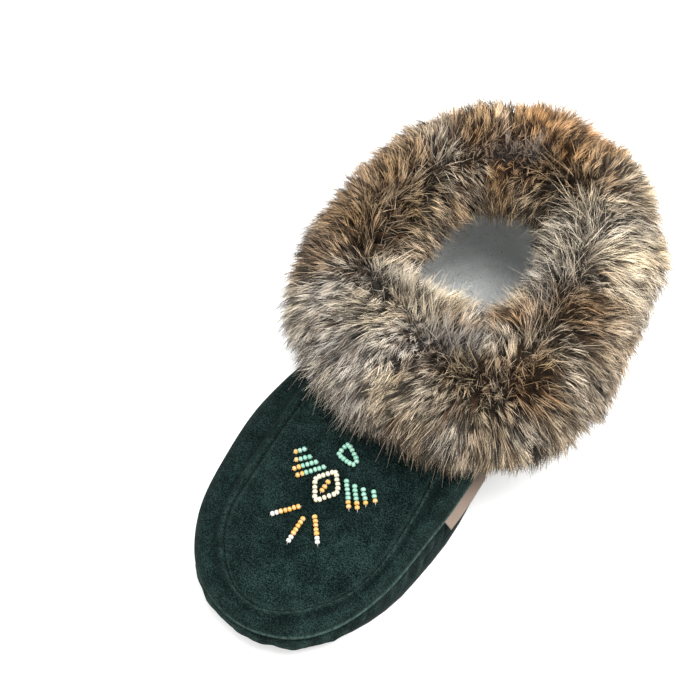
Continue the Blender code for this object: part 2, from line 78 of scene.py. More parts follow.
# ------------------------------------------------------------------ curves and unevenness
class Curve:
    """A monotone cubic through stations, read for whole arrays at once."""

    def __init__(self, stations: Sequence[float], values: Sequence[float]) -> None:
        """Works out the tangents.

        Args:
            stations: Rising places along the curve.
            values: The value at each place.
        """
        self.x = np.asarray(stations, float)
        self.y = np.asarray(values, float)
        step = np.diff(self.x)
        slope = np.diff(self.y) / step
        near = 2 * step[1:] + step[:-1]
        far = step[1:] + 2 * step[:-1]
        rising = slope[:-1] * slope[1:] > 0
        before = np.where(rising, slope[:-1], 1.0)
        after = np.where(rising, slope[1:], 1.0)
        self.tangent = np.zeros(len(self.x))
        self.tangent[1:-1] = np.where(rising, (near + far) / (near / before + far / after), 0.0)
        self.tangent[0], self.tangent[-1] = slope[0], slope[-1]

    def __call__(self, at: Any) -> Array:
        """Reads the curve.

        Args:
            at: One place or an array of them; past the ends the end value holds.

        Returns:
            The values there.
        """
        at = np.asarray(at, float)
        i = np.clip(np.searchsorted(self.x, at) - 1, 0, len(self.x) - 2)
        step = self.x[i + 1] - self.x[i]
        t = np.clip((at - self.x[i]) / step, 0, 1)
        rise = (3 - 2 * t) * t * t
        bend = t * (1 - t) * step
        pull = (1 - t) * self.tangent[i] - t * self.tangent[i + 1]
        return self.y[i] + (self.y[i + 1] - self.y[i]) * rise + bend * pull


def curves(rows: Sequence[Sequence[float]]) -> list[Curve]:
    """One curve for each column of a table after the first, which holds the stations."""
    stations, *columns = zip(*rows)
    return [Curve(stations, column) for column in columns]


def lapped(rows: Sequence[Sequence[float]]) -> list[tuple[float, ...]]:
    """A table by degrees with the lap before and the lap after, so that its curves close smoothly."""
    return [(row[0] + lap, *row[1:]) for lap in (-360, 0, 360) for row in rows]


class Ripples:
    """Smooth, repeatable unevenness: waves of about one length in all directions."""

    count = 7

    def __init__(self, seed: int, wavelength: float) -> None:
        """Draws the waves.

        Args:
            seed: Fixes the draw.
            wavelength: Typical distance between crests, in millimetres.
        """
        draw = np.random.default_rng(seed)
        heading = draw.normal(size=(self.count, 3))
        heading /= np.linalg.norm(heading, axis=1)[:, None]
        lengths = wavelength * draw.uniform(0.7, 1.5, self.count)
        self.waves = heading * (2 * math.pi / lengths)[:, None]
        self.phases = draw.uniform(0, 2 * math.pi, self.count)

    def __call__(self, points: Array) -> Array:
        """Reads the unevenness, mostly between -1 and 1, at points in millimetres."""
        return np.sin(points @ self.waves.T + self.phases).sum(-1) / math.sqrt(self.count)


def fade(values: Any, low: float, high: float) -> Array:
    """A smooth step: 0 at low and below, 1 at high and above; the ends may be swapped."""
    t = np.clip((np.asarray(values, float) - low) / (high - low), 0, 1)
    return t * t * (3 - 2 * t)


def hump(values: Any, middle: float, width: float) -> Array:
    """A smooth hump: 1 at the middle, falling to about a third one width away from it."""
    return np.exp(-(((values - middle) / width) ** 2))


def unit(vectors: Array) -> Array:
    """The vectors at length 1."""
    return vectors / np.maximum(np.linalg.norm(vectors, axis=-1, keepdims=True), 1e-9)


def upright(height: Any) -> Array:
    """Vectors straight up, one for each height or one alone."""
    return np.stack([0 * height, 0 * height, height], -1)


def full_circle(count: int) -> Array:
    """Angles once round, evenly spaced."""
    return np.arange(count) * 2 * math.pi / count


def signed(angle: Any, lap: float = 360.0) -> Any:
    """The same angles, brought within half a lap of nought."""
    return (angle + lap / 2) % lap - lap / 2


def from_toe(angle: Array) -> Array:
    """How far along from the toe, as a share, a closed line is at these angles."""
    return (1 - np.cos(angle)) / 2


# ------------------------------------------------------------------ meshes
def grid_faces(rows: int, columns: int, wrap_rows: bool = False, wrap_columns: bool = False) -> Array:
    """Quads over points that lie row after row.

    Args:
        rows: Number of rows.
        columns: Points in each row.
        wrap_rows: Whether the last row joins the first.
        wrap_columns: Whether each row closes on itself.

    Returns:
        One row of four point numbers for each quad.
    """
    r, c = np.indices((rows - (not wrap_rows), columns - (not wrap_columns))).reshape(2, -1)
    down, beside = (r + 1) % rows, (c + 1) % columns
    corners = [r * columns + c, r * columns + beside, down * columns + beside, down * columns + c]
    return np.stack(corners, 1)


def add_object(name: str, content: bpy.types.ID) -> Object:
    """Puts a mesh, a light or a camera into the scene.

    Args:
        name: The object's name.
        content: The mesh, light or camera.

    Returns:
        The object.
    """
    obj = bpy.data.objects.new(name, content)
    bpy.context.scene.collection.objects.link(obj)
    return obj


def build_object(name: str, points: Array, faces: Any = (), facing: bool = True) -> Object:
    """Makes a smooth mesh object at the origin, with its place in its mesh.

    Args:
        name: The piece's name.
        points: Its points, in millimetres.
        faces: Point numbers of each face.
        facing: Whether to turn the faces of this closed mesh outwards.

    Returns:
        The object, in the scene.
    """
    mesh = bpy.data.meshes.new(name)
    rows = [tuple(int(i) for i in face) for face in faces]
    mesh.from_pydata((np.asarray(points) * MM).tolist(), [], rows)
    if facing:
        shape = bmesh.new()
        shape.from_mesh(mesh)
        bmesh.ops.recalc_face_normals(shape, faces=shape.faces)
        shape.to_mesh(mesh)
        shape.free()
    mesh.shade_smooth()
    return add_object(name, mesh)


def closed_sheet(name: str, top: Array, below: Array, columns: int) -> Object:
    """Makes a sheet with a thickness, closed round its edge.

    Args:
        name: The piece's name.
        top: Its upper points, row after row.
        below: The lower point under each.
        columns: Points in each row.

    Returns:
        The piece.
    """
    count = len(top)
    quads = grid_faces(count // columns, columns)
    number = np.arange(count).reshape(-1, columns)
    rim = [*number[0], *number[1:, -1], *number[-1, -2::-1], *number[-2:0:-1, 0]]
    wall = [(a, b, b + count, a + count) for a, b in zip(rim, rim[1:] + rim[:1])]
    return build_object(name, np.concatenate([top, below]), [*quads, *(quads[:, ::-1] + count), *wall])


def store(obj: Object, **marks: Array) -> None:
    """Writes numbers or vectors to each point of a mesh.

    Args:
        obj: The mesh object.
        **marks: By attribute name, one number or one row of three for each point.
    """
    for name, values in marks.items():
        values = np.asarray(values, np.float32)
        kind, key = ("FLOAT_VECTOR", "vector") if values.ndim == 2 else ("FLOAT", "value")
        obj.data.attributes.new(name, kind, "POINT").data.foreach_set(key, values.ravel())


def mean_area(obj: Object, share: Array) -> float:
    """A mesh's area in square metres, each point's surroundings counting by its share."""
    return sum(face.area * share[list(face.vertices)].mean() for face in obj.data.polygons)


def tube(path: Array, radius: float, sides: int = 6) -> tuple[Array, list[Sequence[int]]]:
    """A round rod along a path, closed by its flat ends.

    Args:
        path: The points of its middle line, in millimetres.
        radius: Its radius.
        sides: Corners of its section.

    Returns:
        Points, and the point numbers of each face.
    """
    along = unit(np.gradient(path, axis=0))
    beside = unit(np.cross(along, [0.13, 0.21, 1.0]))
    above = np.cross(beside, along)
    turn = full_circle(sides)[:, None]
    ring = beside[:, None] * np.cos(turn) + above[:, None] * np.sin(turn)
    points = (path[:, None] + ring * radius).reshape(-1, 3)
    last = len(points) - sides
    ends = [range(sides - 1, -1, -1), range(last, last + sides)]
    return points, [*grid_faces(len(path), sides, wrap_columns=True), *ends]


def dressed(obj: Object, finish: Material | None, slot: str, *nodes: str) -> Object:
    """Gives a finished piece its material and body, and hides the solids it stands for.

    Args:
        obj: The piece.
        finish: Its material, or None where it has one.
        slot: Not used.
        *nodes: CAD nodes that it replaces.

    Returns:
        The same piece.
    """
    if finish is not None:
        obj.data.materials.clear()
        obj.data.materials.append(finish)
    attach(obj, ROOT)
    if nodes:
        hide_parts(*nodes)
    LOG.info("%s: %d triangles", obj.name, sum(len(face.vertices) - 2 for face in obj.data.polygons))
    return obj


# ------------------------------------------------------------------ node graphs
def arithmetic(kind: str, reflected: bool = False) -> Callable[["Wire", Any], "Wire"]:
    """Makes one of the arithmetic methods of a Wire.

    Args:
        kind: The Math node's operation.
        reflected: Whether the other value comes first.

    Returns:
        The method.
    """

    def method(wire: "Wire", other: Any) -> "Wire":
        """Adds the node for this wire and the other value."""
        return wire.graph.math(kind, *((other, wire) if reflected else (wire, other)))

    return method


class Wire:
    """A node's output that takes part in Python arithmetic, on numbers and on vectors."""

    __add__, __radd__ = arithmetic("ADD"), arithmetic("ADD", True)
    __sub__, __rsub__ = arithmetic("SUBTRACT"), arithmetic("SUBTRACT", True)
    __mul__ = __rmul__ = arithmetic("MULTIPLY")
    __truediv__, __pow__ = arithmetic("DIVIDE"), arithmetic("POWER")

    def __init__(self, graph: "Graph", socket: bpy.types.NodeSocket) -> None:
        """Keeps the socket and the graph it is in."""
        self.graph = graph
        self.socket = socket


def is_vector(value: Any) -> bool:
    """Whether a plain value or a Wire is a vector or a colour."""
    return value.socket.type in {"VECTOR", "RGBA"} if isinstance(value, Wire) else isinstance(value, tuple)


class Graph:
    """A shader or geometry node tree that is built by method calls."""

    def __init__(self, tree: bpy.types.NodeTree) -> None:
        """Keeps the tree."""
        self.tree = tree

    def node(self, kind: str, settings: Settings = None, **inputs: Any) -> bpy.types.Node:
        """Adds a node.

        Args:
            kind: The node's type.
            settings: Its properties, set before its inputs.
            **inputs: Values or Wires for its sockets, by identifier or name; spaces are written _.

        Returns:
            The node.
        """
        node = self.tree.nodes.new(kind)
        for key, value in (settings or {}).items():
            setattr(node, key, value)
        for key, value in inputs.items():
            self.feed(node, key, value)
        return node

    def feed(self, node: bpy.types.Node, key: int | str, value: Any) -> None:
        """Sets or links one input of a node.

        Args:
            node: The node.
            key: The input's identifier, name or number.
            value: A Wire to link, or a plain value.
        """
        if isinstance(key, int):
            target = node.inputs[key]
        else:
            found = {socket.identifier: socket for socket in node.inputs}
            found |= {socket.name: socket for socket in reversed(node.inputs) if socket.enabled}
            target = found[key.replace("_", " ") if key.replace("_", " ") in found else key]
        if isinstance(value, Wire):
            self.tree.links.new(value.socket, target)
        else:
            short = target.type == "RGBA" and len(value) == 3
            target.default_value = (*value, 1.0) if short else value

    def out(self, node: bpy.types.Node, key: int | str = 0) -> Wire:
        """One output of a node.

        Args:
            node: The node.
            key: The output's name, identifier or number.

        Returns:
            The output.
        """
        if isinstance(key, str):
            for socket in node.outputs:
                if key in (socket.identifier, socket.name) and socket.enabled:
                    return Wire(self, socket)
        return Wire(self, node.outputs[key])

    def get(self, kind: str, settings: Settings = None, output: int | str = 0, **inputs: Any) -> Wire:
        """Adds a node as node() does, and gives one of its outputs by name or number."""
        return self.out(self.node(kind, settings, **inputs), output)

    def math(self, operation: str, *values: Any) -> Wire:
        """Adds a Math node, or a Vector Math node where a value is a vector.

        Args:
            operation: The node's operation.
            *values: Numbers, triples or Wires.

        Returns:
            The result.
        """
        vectors = [is_vector(value) for value in values]
        scaled = operation == "MULTIPLY" and any(vectors) and not all(vectors)
        kind = "ShaderNodeVectorMath" if any(vectors) else "ShaderNodeMath"
        node = self.node(kind, {"operation": "SCALE" if scaled else operation})
        for i, value in enumerate(values):
            self.feed(node, (0 if vectors[i] else "Scale") if scaled else i, value)
        return self.out(node, "Value" if operation == "DOT_PRODUCT" else 0)

    def blend(self, factor: Any, low: Any, high: Any) -> Wire:
        """Goes from low to high as factor goes from 0 to 1, for colours."""
        settings = {"data_type": "RGBA", "clamp_factor": True}
        return self.get(
            "ShaderNodeMix", settings, "Result_Color", Factor_Float=factor, A_Color=low, B_Color=high
        )

    def span(self, value: Any, low: float, high: float, top: float = 1.0) -> Wire:
        """Rises smoothly from 0 at low to the top at high, and holds past both."""
        settings = {"interpolation_type": "SMOOTHSTEP"}
        return self.get("ShaderNodeMapRange", settings, Value=value, From_Min=low, From_Max=high, To_Max=top)

    def parts(self, vector: Any) -> tuple[Wire, Wire, Wire]:
        """A vector's x, y and z."""
        node = self.node("ShaderNodeSeparateXYZ", Vector=vector)
        return tuple(self.out(node, axis) for axis in "XYZ")


class Finish(Graph):
    """A material with one Principled shader, under construction."""

    def __init__(self, name: str, **constants: Any) -> None:
        """Starts the material.

        Args:
            name: The material's name.
            **constants: Values that are the same all over, by socket name with spaces as _.
        """
        self.material = bpy.data.materials.new(name)
        self.material.use_nodes = True
        super().__init__(self.material.node_tree)
        self.shader = self.tree.nodes["Principled BSDF"]
        for key, value in constants.items():
            self.feed(self.shader, key, value)
        self.place = self.get("ShaderNodeTexCoord", output="Object")

    def noise(self, size: float, detail: float = 2.0, roughness: float = 0.5) -> Wire:
        """A noise between 0 and 1.

        Args:
            size: Rough size of its blotches, in millimetres.
            detail: Levels of finer noise added.
            roughness: Strength of the finer levels.

        Returns:
            The noise.
        """
        sizes = {"Scale": 1 / (size * MM), "Detail": detail, "Roughness": roughness}
        return self.get("ShaderNodeTexNoise", Vector=self.place, **sizes)

    def attribute(self, name: str, output: str = "Fac") -> Wire:
        """A number or colour stored on the mesh's points."""
        return self.get("ShaderNodeAttribute", {"attribute_name": name}, output)

    def done(self, colour: Any, height: Any = None, depth: float = 0.0) -> Material:
        """Feeds the base colour and the relief.

        Args:
            colour: The colour.
            height: The relief's height, 0 to 1.
            depth: What a height of 1 stands for, in millimetres.

        Returns:
            The material.
        """
        self.feed(self.shader, "Base Color", colour)
        if height is not None:
            bump = self.get("ShaderNodeBump", Height=height, Distance=depth * MM, Strength=1.0)
            self.feed(self.shader, "Normal", bump)
        return self.material


class Pattern(Graph):
    """A geometry node tree with named inputs, run on a mesh to make a plain one."""

    def __init__(self, name: str, **inputs: str) -> None:
        """Starts the tree.

        Args:
            name: Its name.
            **inputs: Its inputs besides geometry and material: their socket types by name.
        """
        super().__init__(bpy.data.node_groups.new(name, "GeometryNodeTree"))
        new_socket = self.tree.interface.new_socket
        new_socket("Geometry", in_out="OUTPUT", socket_type="NodeSocketGeometry")
        kinds = {"Geometry": "Geometry", "Material": "Material", **inputs}
        self.identifiers = {
            key: new_socket(key, in_out="INPUT", socket_type="NodeSocket" + kind).identifier
            for key, kind in kinds.items()
        }
        self.inlet = self.tree.nodes.new("NodeGroupInput")
        self.given = {key: self.out(self.inlet, key) for key in kinds}

    def number(self, name: str) -> Wire:
        """A number stored on the points."""
        return self.get("GeometryNodeInputNamedAttribute", {"data_type": "FLOAT"}, Name=name)

    def vector(self, name: str) -> Wire:
        """A vector stored on the points."""
        return self.get("GeometryNodeInputNamedAttribute", {"data_type": "FLOAT_VECTOR"}, Name=name)

    def keep(self, geometry: Wire, kind: str = "FLOAT", domain: str = "POINT", **marks: Any) -> Wire:
        """Stores values under names.

        Args:
            geometry: What to store them on.
            kind: Their data type.
            domain: Where they are stored.
            **marks: The values by name.

        Returns:
            The geometry with them.
        """
        settings = {"data_type": kind, "domain": domain}
        for name, value in marks.items():
            marked = {"Geometry": geometry, "Name": name, "Value": value}
            geometry = self.get("GeometryNodeStoreNamedAttribute", settings, **marked)
        return geometry

    def random(self, low: float, high: float, seed: int) -> Wire:
        """A random number for each element, with a fixed seed."""
        settings = {"data_type": "FLOAT"}
        return self.get("FunctionNodeRandomValue", settings, "Value", Min=low, Max=high, Seed=seed)

    def scatter(self, reach: float, seed: int) -> Wire:
        """A random vector for each element, each part between -reach and reach."""
        limits = {"Min": (-reach,) * 3, "Max": (reach,) * 3, "Seed": seed}
        return self.get("FunctionNodeRandomValue", {"data_type": "FLOAT_VECTOR"}, "Value", **limits)

    def sown(self, density: Any, seed: int) -> bpy.types.Node:
        """A node that sows points at random on the mesh that the tree runs on.

        Args:
            density: How many to a square metre.
            seed: Fixes the draw.

        Returns:
            The node.
        """
        settings = {"distribute_method": "RANDOM"}
        inputs = {"Mesh": self.given["Geometry"], "Density": density, "Seed": seed}
        return self.node("GeometryNodeDistributePointsOnFaces", settings, **inputs)

    def facing(self, axis: str, along: Wire) -> Wire:
        """The rotation that lays an axis along a vector."""
        return self.get("FunctionNodeAlignRotationToVector", {"axis": axis}, Vector=along)

    def copies(self, **inputs: Any) -> Wire:
        """Copies of a shape, one on each point, made real."""
        copies = self.get("GeometryNodeInstanceOnPoints", None, "Instances", **inputs)
        return self.get("GeometryNodeRealizeInstances", Geometry=copies)

    def close(self, solid: Wire) -> "Pattern":
        """Sets the material and closes the tree.

        Args:
            solid: What the tree makes.

        Returns:
            The tree.
        """
        smooth = self.get("GeometryNodeSetShadeSmooth", Geometry=solid)
        made = self.get("GeometryNodeSetMaterial", Geometry=smooth, Material=self.given["Material"])
        self.node("NodeGroupOutput", Geometry=made)
        return self

    def run(self, carrier: Object, name: str, keep: Sequence[str] = (), **values: Any) -> Object:
        """Runs the tree and keeps its result as a plain mesh.

        Args:
            carrier: The mesh object that it runs on; left as it was.
            name: The new piece's name.
            keep: The attributes that the finish needs.
            **values: The tree's inputs by name.

        Returns:
            The new piece.
        """
        modifier = carrier.modifiers.new(name, "NODES")
        modifier.node_group = self.tree
        for key, value in values.items():
            modifier[self.identifiers[key]] = value
        graph = bpy.context.evaluated_depsgraph_get()
        mesh = bpy.data.meshes.new_from_object(
            carrier.evaluated_get(graph), preserve_all_data_layers=True, depsgraph=graph
        )
        carrier.modifiers.remove(modifier)
        mesh.name = name
        forget(mesh, *keep)
        return add_object(name, mesh)


class OnPoints(Pattern):
    """A tree that sets a copy of one object on every point, turned along the points' direction."""

    def __init__(self, name: str, axis: str, smallest: float, largest: float, seed: int) -> None:
        """Builds the tree.

        Args:
            name: Its name.
            axis: The copied object's axis that is laid along the direction.
            smallest: The least size of a copy.
            largest: The greatest.
            seed: Fixes the sizes.
        """
        super().__init__(name, Shape="Object")
        shape = self.get("GeometryNodeObjectInfo", None, "Geometry", Object=self.given["Shape"])
        turned = {"Rotation": self.facing(axis, self.vector("direction"))}
        size = self.random(smallest, largest, seed)
        self.close(self.copies(Points=self.given["Geometry"], Instance=shape, Scale=size, **turned))

    def set_out(self, name: str, middles: Array, along: Array, colours: Any = None, **values: Any) -> Object:
        """Sets the copies.

        Args:
            name: The new piece's name.
            middles: The points, in millimetres.
            along: The direction at each.
            colours: The bead's colour at each, where there are beads.
            **values: The tree's inputs by name.

        Returns:
            The new piece.
        """
        carrier = build_object(name + "_carrier", middles, facing=False)
        store(carrier, direction=along)
        if colours is not None:
            store(carrier, bead_colour=colours)
        piece = self.run(carrier, name, ("bead_colour",), **values)
        bpy.data.objects.remove(carrier)
        return piece


def forget(mesh: bpy.types.Mesh, *keep: str) -> None:
    """Drops a mesh's helper attributes.

    Args:
        mesh: The mesh.
        *keep: The names of those that stay, besides its own.
    """
    extra = [mark.name for mark in mesh.attributes if not mark.is_required and not mark.is_internal]
    for name in extra:
        if name not in (*keep, "sharp_face", "material_index"):
            mesh.attributes.remove(mesh.attributes[name])




# ------------------------------------------------------------------ the shoe's form
LID_ROWS = (
    # share of the length from the toe, middle x, half width of the lid's edge
    (0.02, -2.0, 19.6), (0.05, -3.0, 29.6), (0.09, -3.5, 37.0),
    (0.16, -4.0, 44.2), (0.26, -4.0, 48.0), (0.36, -3.5, 49.8),
    (0.46, -1.5, 48.0), (0.58, 1.0, 42.5), (0.70, 1.5, 38.2),
    (0.82, 0.8, 36.0), (0.91, 0.2, 30.8), (0.965, 0.0, 22.0),
)
SEAM_ROWS = (
    # share of the seam's length from the toe, middle x, half width
    (0.03, -1.6, 17.0), (0.08, -1.2, 27.5), (0.13, -0.6, 32.8),
    (0.20, 0.4, 34.6), (0.30, 0.8, 34.8), (0.42, 1.2, 33.0),
    (0.56, 0.6, 30.0), (0.69, 0.0, 29.0), (0.82, 0.0, 28.3),
    (0.91, 0.0, 23.6), (0.96, 0.0, 16.8),
)
HEIGHT_ROWS = (
    # share from toe, lid edge, seam or collar, plug's crown, sole's inset, band's puff
    (0.00, 20.0, 26.3, 1.0, 5.6, 0.75), (0.08, 21.6, 27.6, 1.8, 5.4, 0.90),
    (0.15, 23.6, 31.0, 2.8, 3.8, 1.00), (0.25, 26.3, 36.0, 3.6, 1.6, 1.00),
    (0.35, 28.0, 41.8, 4.2, 1.4, 0.95), (0.45, 29.4, 48.5, 4.8, 2.4, 0.75),
    (0.56, 30.6, 56.0, 5.0, 3.8, 0.35), (0.70, 31.0, 62.0, 2.0, 4.0, 0.10),
    (0.85, 31.0, 66.5, 0.0, 3.8, 0.00), (1.00, 31.0, 70.0, 0.0, 3.8, 0.00),
)
WALL_ROWS = (
    # share of the lower wall's height, share of the sole's inset
    (0.00, 1.00), (0.16, 0.52), (0.42, 0.16), (0.72, 0.14), (0.93, 0.42),
)
BAND_ROWS = (
    # share of the way from lid edge to seam, front puff in mm, share inwards at the heel
    (0.00, 0.6, 0.00), (0.12, 3.2, 0.03), (0.28, 4.1, 0.09),
    (0.44, 3.3, 0.20), (0.60, 1.7, 0.36), (0.73, 0.6, 0.54),
    (0.85, 1.9, 0.74), (0.94, 1.5, 0.90), (1.00, 0.4, 1.00),
)
CREASE_ROWS = (
    # degrees round from the toe, + outer side; share up the wall; half width in degrees;
    # half height as a share; depth in mm; lean in degrees over the wall's height
    (24, 0.60, 1.6, 0.35, 0.5, 2), (31, 0.75, 1.3, 0.30, 0.7, -2), (37, 0.55, 1.8, 0.45, 0.7, 3),
    (43, 0.80, 1.2, 0.35, 0.9, 2), (48, 0.62, 1.9, 0.50, 1.0, -3), (53, 0.78, 1.2, 0.35, 0.9, 3),
    (58, 0.58, 2.0, 0.50, 1.1, 4), (63, 0.80, 1.3, 0.35, 1.0, -3), (67, 0.60, 1.6, 0.45, 0.9, 2),
    (72, 0.78, 1.4, 0.35, 0.9, 4), (78, 0.55, 2.2, 0.50, 0.8, -4), (88, 0.65, 2.6, 0.45, 0.7, 5),
    (101, 0.60, 3.0, 0.50, 0.6, -4), (-20, 0.65, 1.8, 0.35, 0.5, 2), (-33, 0.75, 1.5, 0.40, 0.7, -2),
    (-41, 0.60, 2.0, 0.45, 0.8, 3), (-50, 0.75, 1.5, 0.40, 0.9, -3), (-57, 0.58, 2.0, 0.50, 0.9, 3),
    (-66, 0.76, 1.6, 0.40, 0.8, -2), (-77, 0.60, 2.4, 0.50, 0.8, 4), (-92, 0.60, 3.0, 0.50, 0.6, -4),
)
TAB_DEGREES = (69.6, 84.0)  # where the tab starts and ends round the shoe


class FootLine:
    """A closed line round the shoe, seen from above."""

    def __init__(self, toe: float, heel: float, rows: Sequence[Sequence[float]]) -> None:
        """Makes the line's curves.

        Args:
            toe: Where it starts along Y.
            heel: Where it ends along Y.
            rows: Share of its length, middle x and half width.
        """
        self.toe, self.heel = toe, heel
        fuller = [(share, x, half / (2 * math.sqrt(share * (1 - share)))) for share, x, half in rows]
        self.middle, self.fullness = curves(fuller)

    def point(self, angle: Array) -> Array:
        """The line's points.

        Args:
            angle: Angles round it.

        Returns:
            Their x and y.
        """
        share = from_toe(angle)
        x = self.middle(share) + self.fullness(share) * np.sin(angle)
        return np.stack([x, self.toe + share * (self.heel - self.toe)], -1)

    def outward(self, angle: Array, step: float = 0.02) -> Array:
        """Unit vectors square to the line, away from the foot."""
        along = self.point(angle + step) - self.point(angle - step)
        return unit(np.stack([along[..., 1], -along[..., 0]], -1))


@dataclass
class MoccasinForm:
    """The outer form of the suede, worked out from a few sizes and the tables above."""

    toe_tip: float
    heel_back: float
    wall: float = 1.9
    gap: float = 0.3
    lip: float = 0.9
    tuck: float = 1.6
    flange: float = 10.0
    sole_top: float = 4.3
    toe_spring: float = 3.0
    spring_start: float = 52.0
    heel_lift: float = 1.2
    heel_run: float = 12.0
    arch_rise: float = 1.4
    arch_middle: float = -78.0
    arch_half: float = 34.0
    seam_from_toe: float = 7.7
    collar_from_heel: float = 7.0
    full_band: float = 13.0
    edge_inset: float = 0.2
    fold_height: float = 0.45
    fold_offset: float = 1.9

    def __post_init__(self) -> None:
        """Makes the lines and the curves of height."""
        ends = self.toe_tip + self.seam_from_toe, self.heel_back - self.collar_from_heel
        self.lid = FootLine(self.toe_tip, self.heel_back, LID_ROWS)
        self.seam = FootLine(*ends, SEAM_ROWS)
        self.levels = dict(zip(("lid", "seam", "crown", "inset", "puff"), curves(HEIGHT_ROWS)))
        (self.wall_fall,) = curves(WALL_ROWS)
        self.band_puff, self.band_heel = curves(BAND_ROWS)

    def level(self, name: str, angle: Array) -> Array:
        """One of the heights or sizes that change along the shoe, at these angles."""
        return self.levels[name](from_toe(angle))

    def sole_lift(self, y: Array) -> Array:
        """How far the sole's bottom is off the ground.

        Args:
            y: Places along the shoe.

        Returns:
            The height at each.
        """
        toe = np.maximum(0, (self.toe_tip + self.spring_start - y) / self.spring_start)
        heel = np.maximum(0, (y - self.heel_back + self.heel_run) / self.heel_run)
        arch = np.maximum(0, 1 - ((y - self.arch_middle) / self.arch_half) ** 2)
        return self.toe_spring * toe**2 + self.heel_lift * heel**2 + self.arch_rise * arch**2

    def at_lid(self, angle: Array, inset: Any, height: Any) -> Array:
        """Points moved in from the lid's edge, at a height."""
        flat = self.lid.point(angle) - self.lid.outward(angle) * np.asarray(inset)[..., None]
        return np.concatenate([flat, np.broadcast_to(height, angle.shape)[..., None]], -1)

    def lower_wall(self, angle: Array, share: Any, deeper: float = 0.0) -> Array:
        """The lower wall.

        Args:
            angle: Angles round the shoe.
            share: How far up it, from the sole to under the lid.
            deeper: How far inside its outer face.

        Returns:
            Its points.
        """
        inset = self.level("inset", angle)
        foot = self.at_lid(angle, inset + deeper, 0.0)
        base = self.sole_top + self.sole_lift(foot[..., 1])
        height = base + (self.level("lid", angle) - self.lip - base) * share
        return self.at_lid(angle, inset * self.wall_fall(share) + deeper, height)

    def band(self, angle: Array, share: float, puffed: float = 1.0) -> Array:
        """The band between the lid's edge and the seam.

        Args:
            angle: Angles round the shoe.
            share: How far across it from the lid's edge.
            puffed: How much of its puff it has.

        Returns:
            Its points.
        """
        front = self.level("puff", angle)
        inwards = share * front + self.band_heel(share) * (1 - front)
        start = self.at_lid(angle, self.edge_inset + 0 * angle, self.level("lid", angle) + self.lip)
        end = np.concatenate([self.seam.point(angle), self.level("seam", angle)[..., None]], -1)
        width = np.linalg.norm(end[..., :2] - start[..., :2], axis=-1)
        points = start + (end - start) * np.stack([inwards, inwards, share + 0 * angle], -1)
        points[..., 2] += self.band_puff(share) * puffed * front * np.minimum(1, width / self.full_band)
        return points

    def top(self, angle: Array, across: Any, inset: float = 0.0, lift: Any = 0.0) -> Array:
        """The vamp's surface, carried on over the collar's mouth.

        Args:
            angle: Angles from the toe, 0 to pi.
            across: -1 on the inner side's seam to +1 on the outer side's.
            inset: How far inside the seam both ends lie.
            lift: How far above the surface.

        Returns:
            Its points.
        """
        across = np.asarray(across, float)
        inner, outer = (self.seam.point(a) - self.seam.outward(a) * inset for a in (-angle, angle))
        flat = inner + (outer - inner) * ((across + 1) / 2)[..., None]
        height = self.level("seam", angle) + self.level("crown", angle) * (1 - across**2) + lift
        return np.concatenate([flat, height[..., None]], -1)

    def creases(self, angle: Array, share: float) -> Array:
        """How deep the listed creases of the lower wall are.

        Args:
            angle: Angles round the shoe.
            share: How far up the wall.

        Returns:
            Their depth in millimetres, below nought on the fold that stands up beside each.
        """
        degrees = np.degrees(signed(angle, 2 * math.pi))
        deep = np.zeros_like(degrees)
        for middle, up, half_width, half_height, depth, lean in CREASE_ROWS:
            away = (degrees - middle - lean * (share - up)) / half_width
            beside = ((share - up) / half_height) ** 2
            deep += depth * np.exp(-(away**2) - beside)
            deep -= self.fold_height * depth * np.exp(-((away - self.fold_offset) ** 2) - beside)
        return deep


# ------------------------------------------------------------------ suede
@dataclass(frozen=True)
class Suede:
    """Napped green leather: blotches where the nap lies another way, pale edges from painted highlight mixed
    with wear, and painted shade in creases.
    """

    deep: Triple = srgb(2, 8, 7)
    middle: Triple = srgb(13, 26, 25)
    pale: Triple = srgb(42, 60, 57)
    # Painted light: a lighter colour for painted highlights on edges and crests, mixed with wear, and a
    # darker one for painted shade.
    rubbed: Triple = srgb(74, 95, 88)
    shadow: Triple = srgb(4, 11, 11)

    def material(self, name: str) -> Material:
        """Builds the material; its mesh carries a mark of painted highlight mixed with wear, and one of
        painted shade.

        Args:
            name: Its name.

        Returns:
            The material.
        """
        sheen = {"Sheen_Weight": 0.02, "Sheen_Roughness": 0.6, "Sheen_Tint": (0.6, 0.75, 0.72)}
        finish = Finish(name, Roughness=0.95, Specular_IOR_Level=0.02, **sheen)
        blotches = finish.span(finish.noise(30, 3, 0.55), 0.34, 0.68)
        strokes = finish.span(finish.noise(7, 4, 0.62), 0.30, 0.72)
        speckle = finish.noise(0.52, 2, 0.75)
        nap = blotches * 0.13 + strokes * 0.22 + finish.span(speckle, 0.35, 0.65) * 0.65
        colour = finish.blend(finish.span(nap, 0.08, 0.52), self.deep, self.middle)
        colour = finish.blend(finish.span(nap, 0.46, 0.96), colour, self.pale)
        uneven = finish.span(finish.noise(1.6, 2), 0.30, 0.62)
        # Painted highlight mixed with wear, in patches: edges, crests and the seam's ridge turn lighter.
        colour = finish.blend(finish.attribute("rub") * (0.30 + uneven * 0.70), colour, self.rubbed)
        # Painted shade: darker towards the shadow colour in creases, under the lid's edge, in the band's
        # valley and at the plug's tucked edge.
        colour = finish.blend(finish.attribute("hollow") * 0.8, colour, self.shadow)
        return finish.done(colour, speckle * 0.7 + finish.noise(0.3, 1) * 0.3, 0.25)


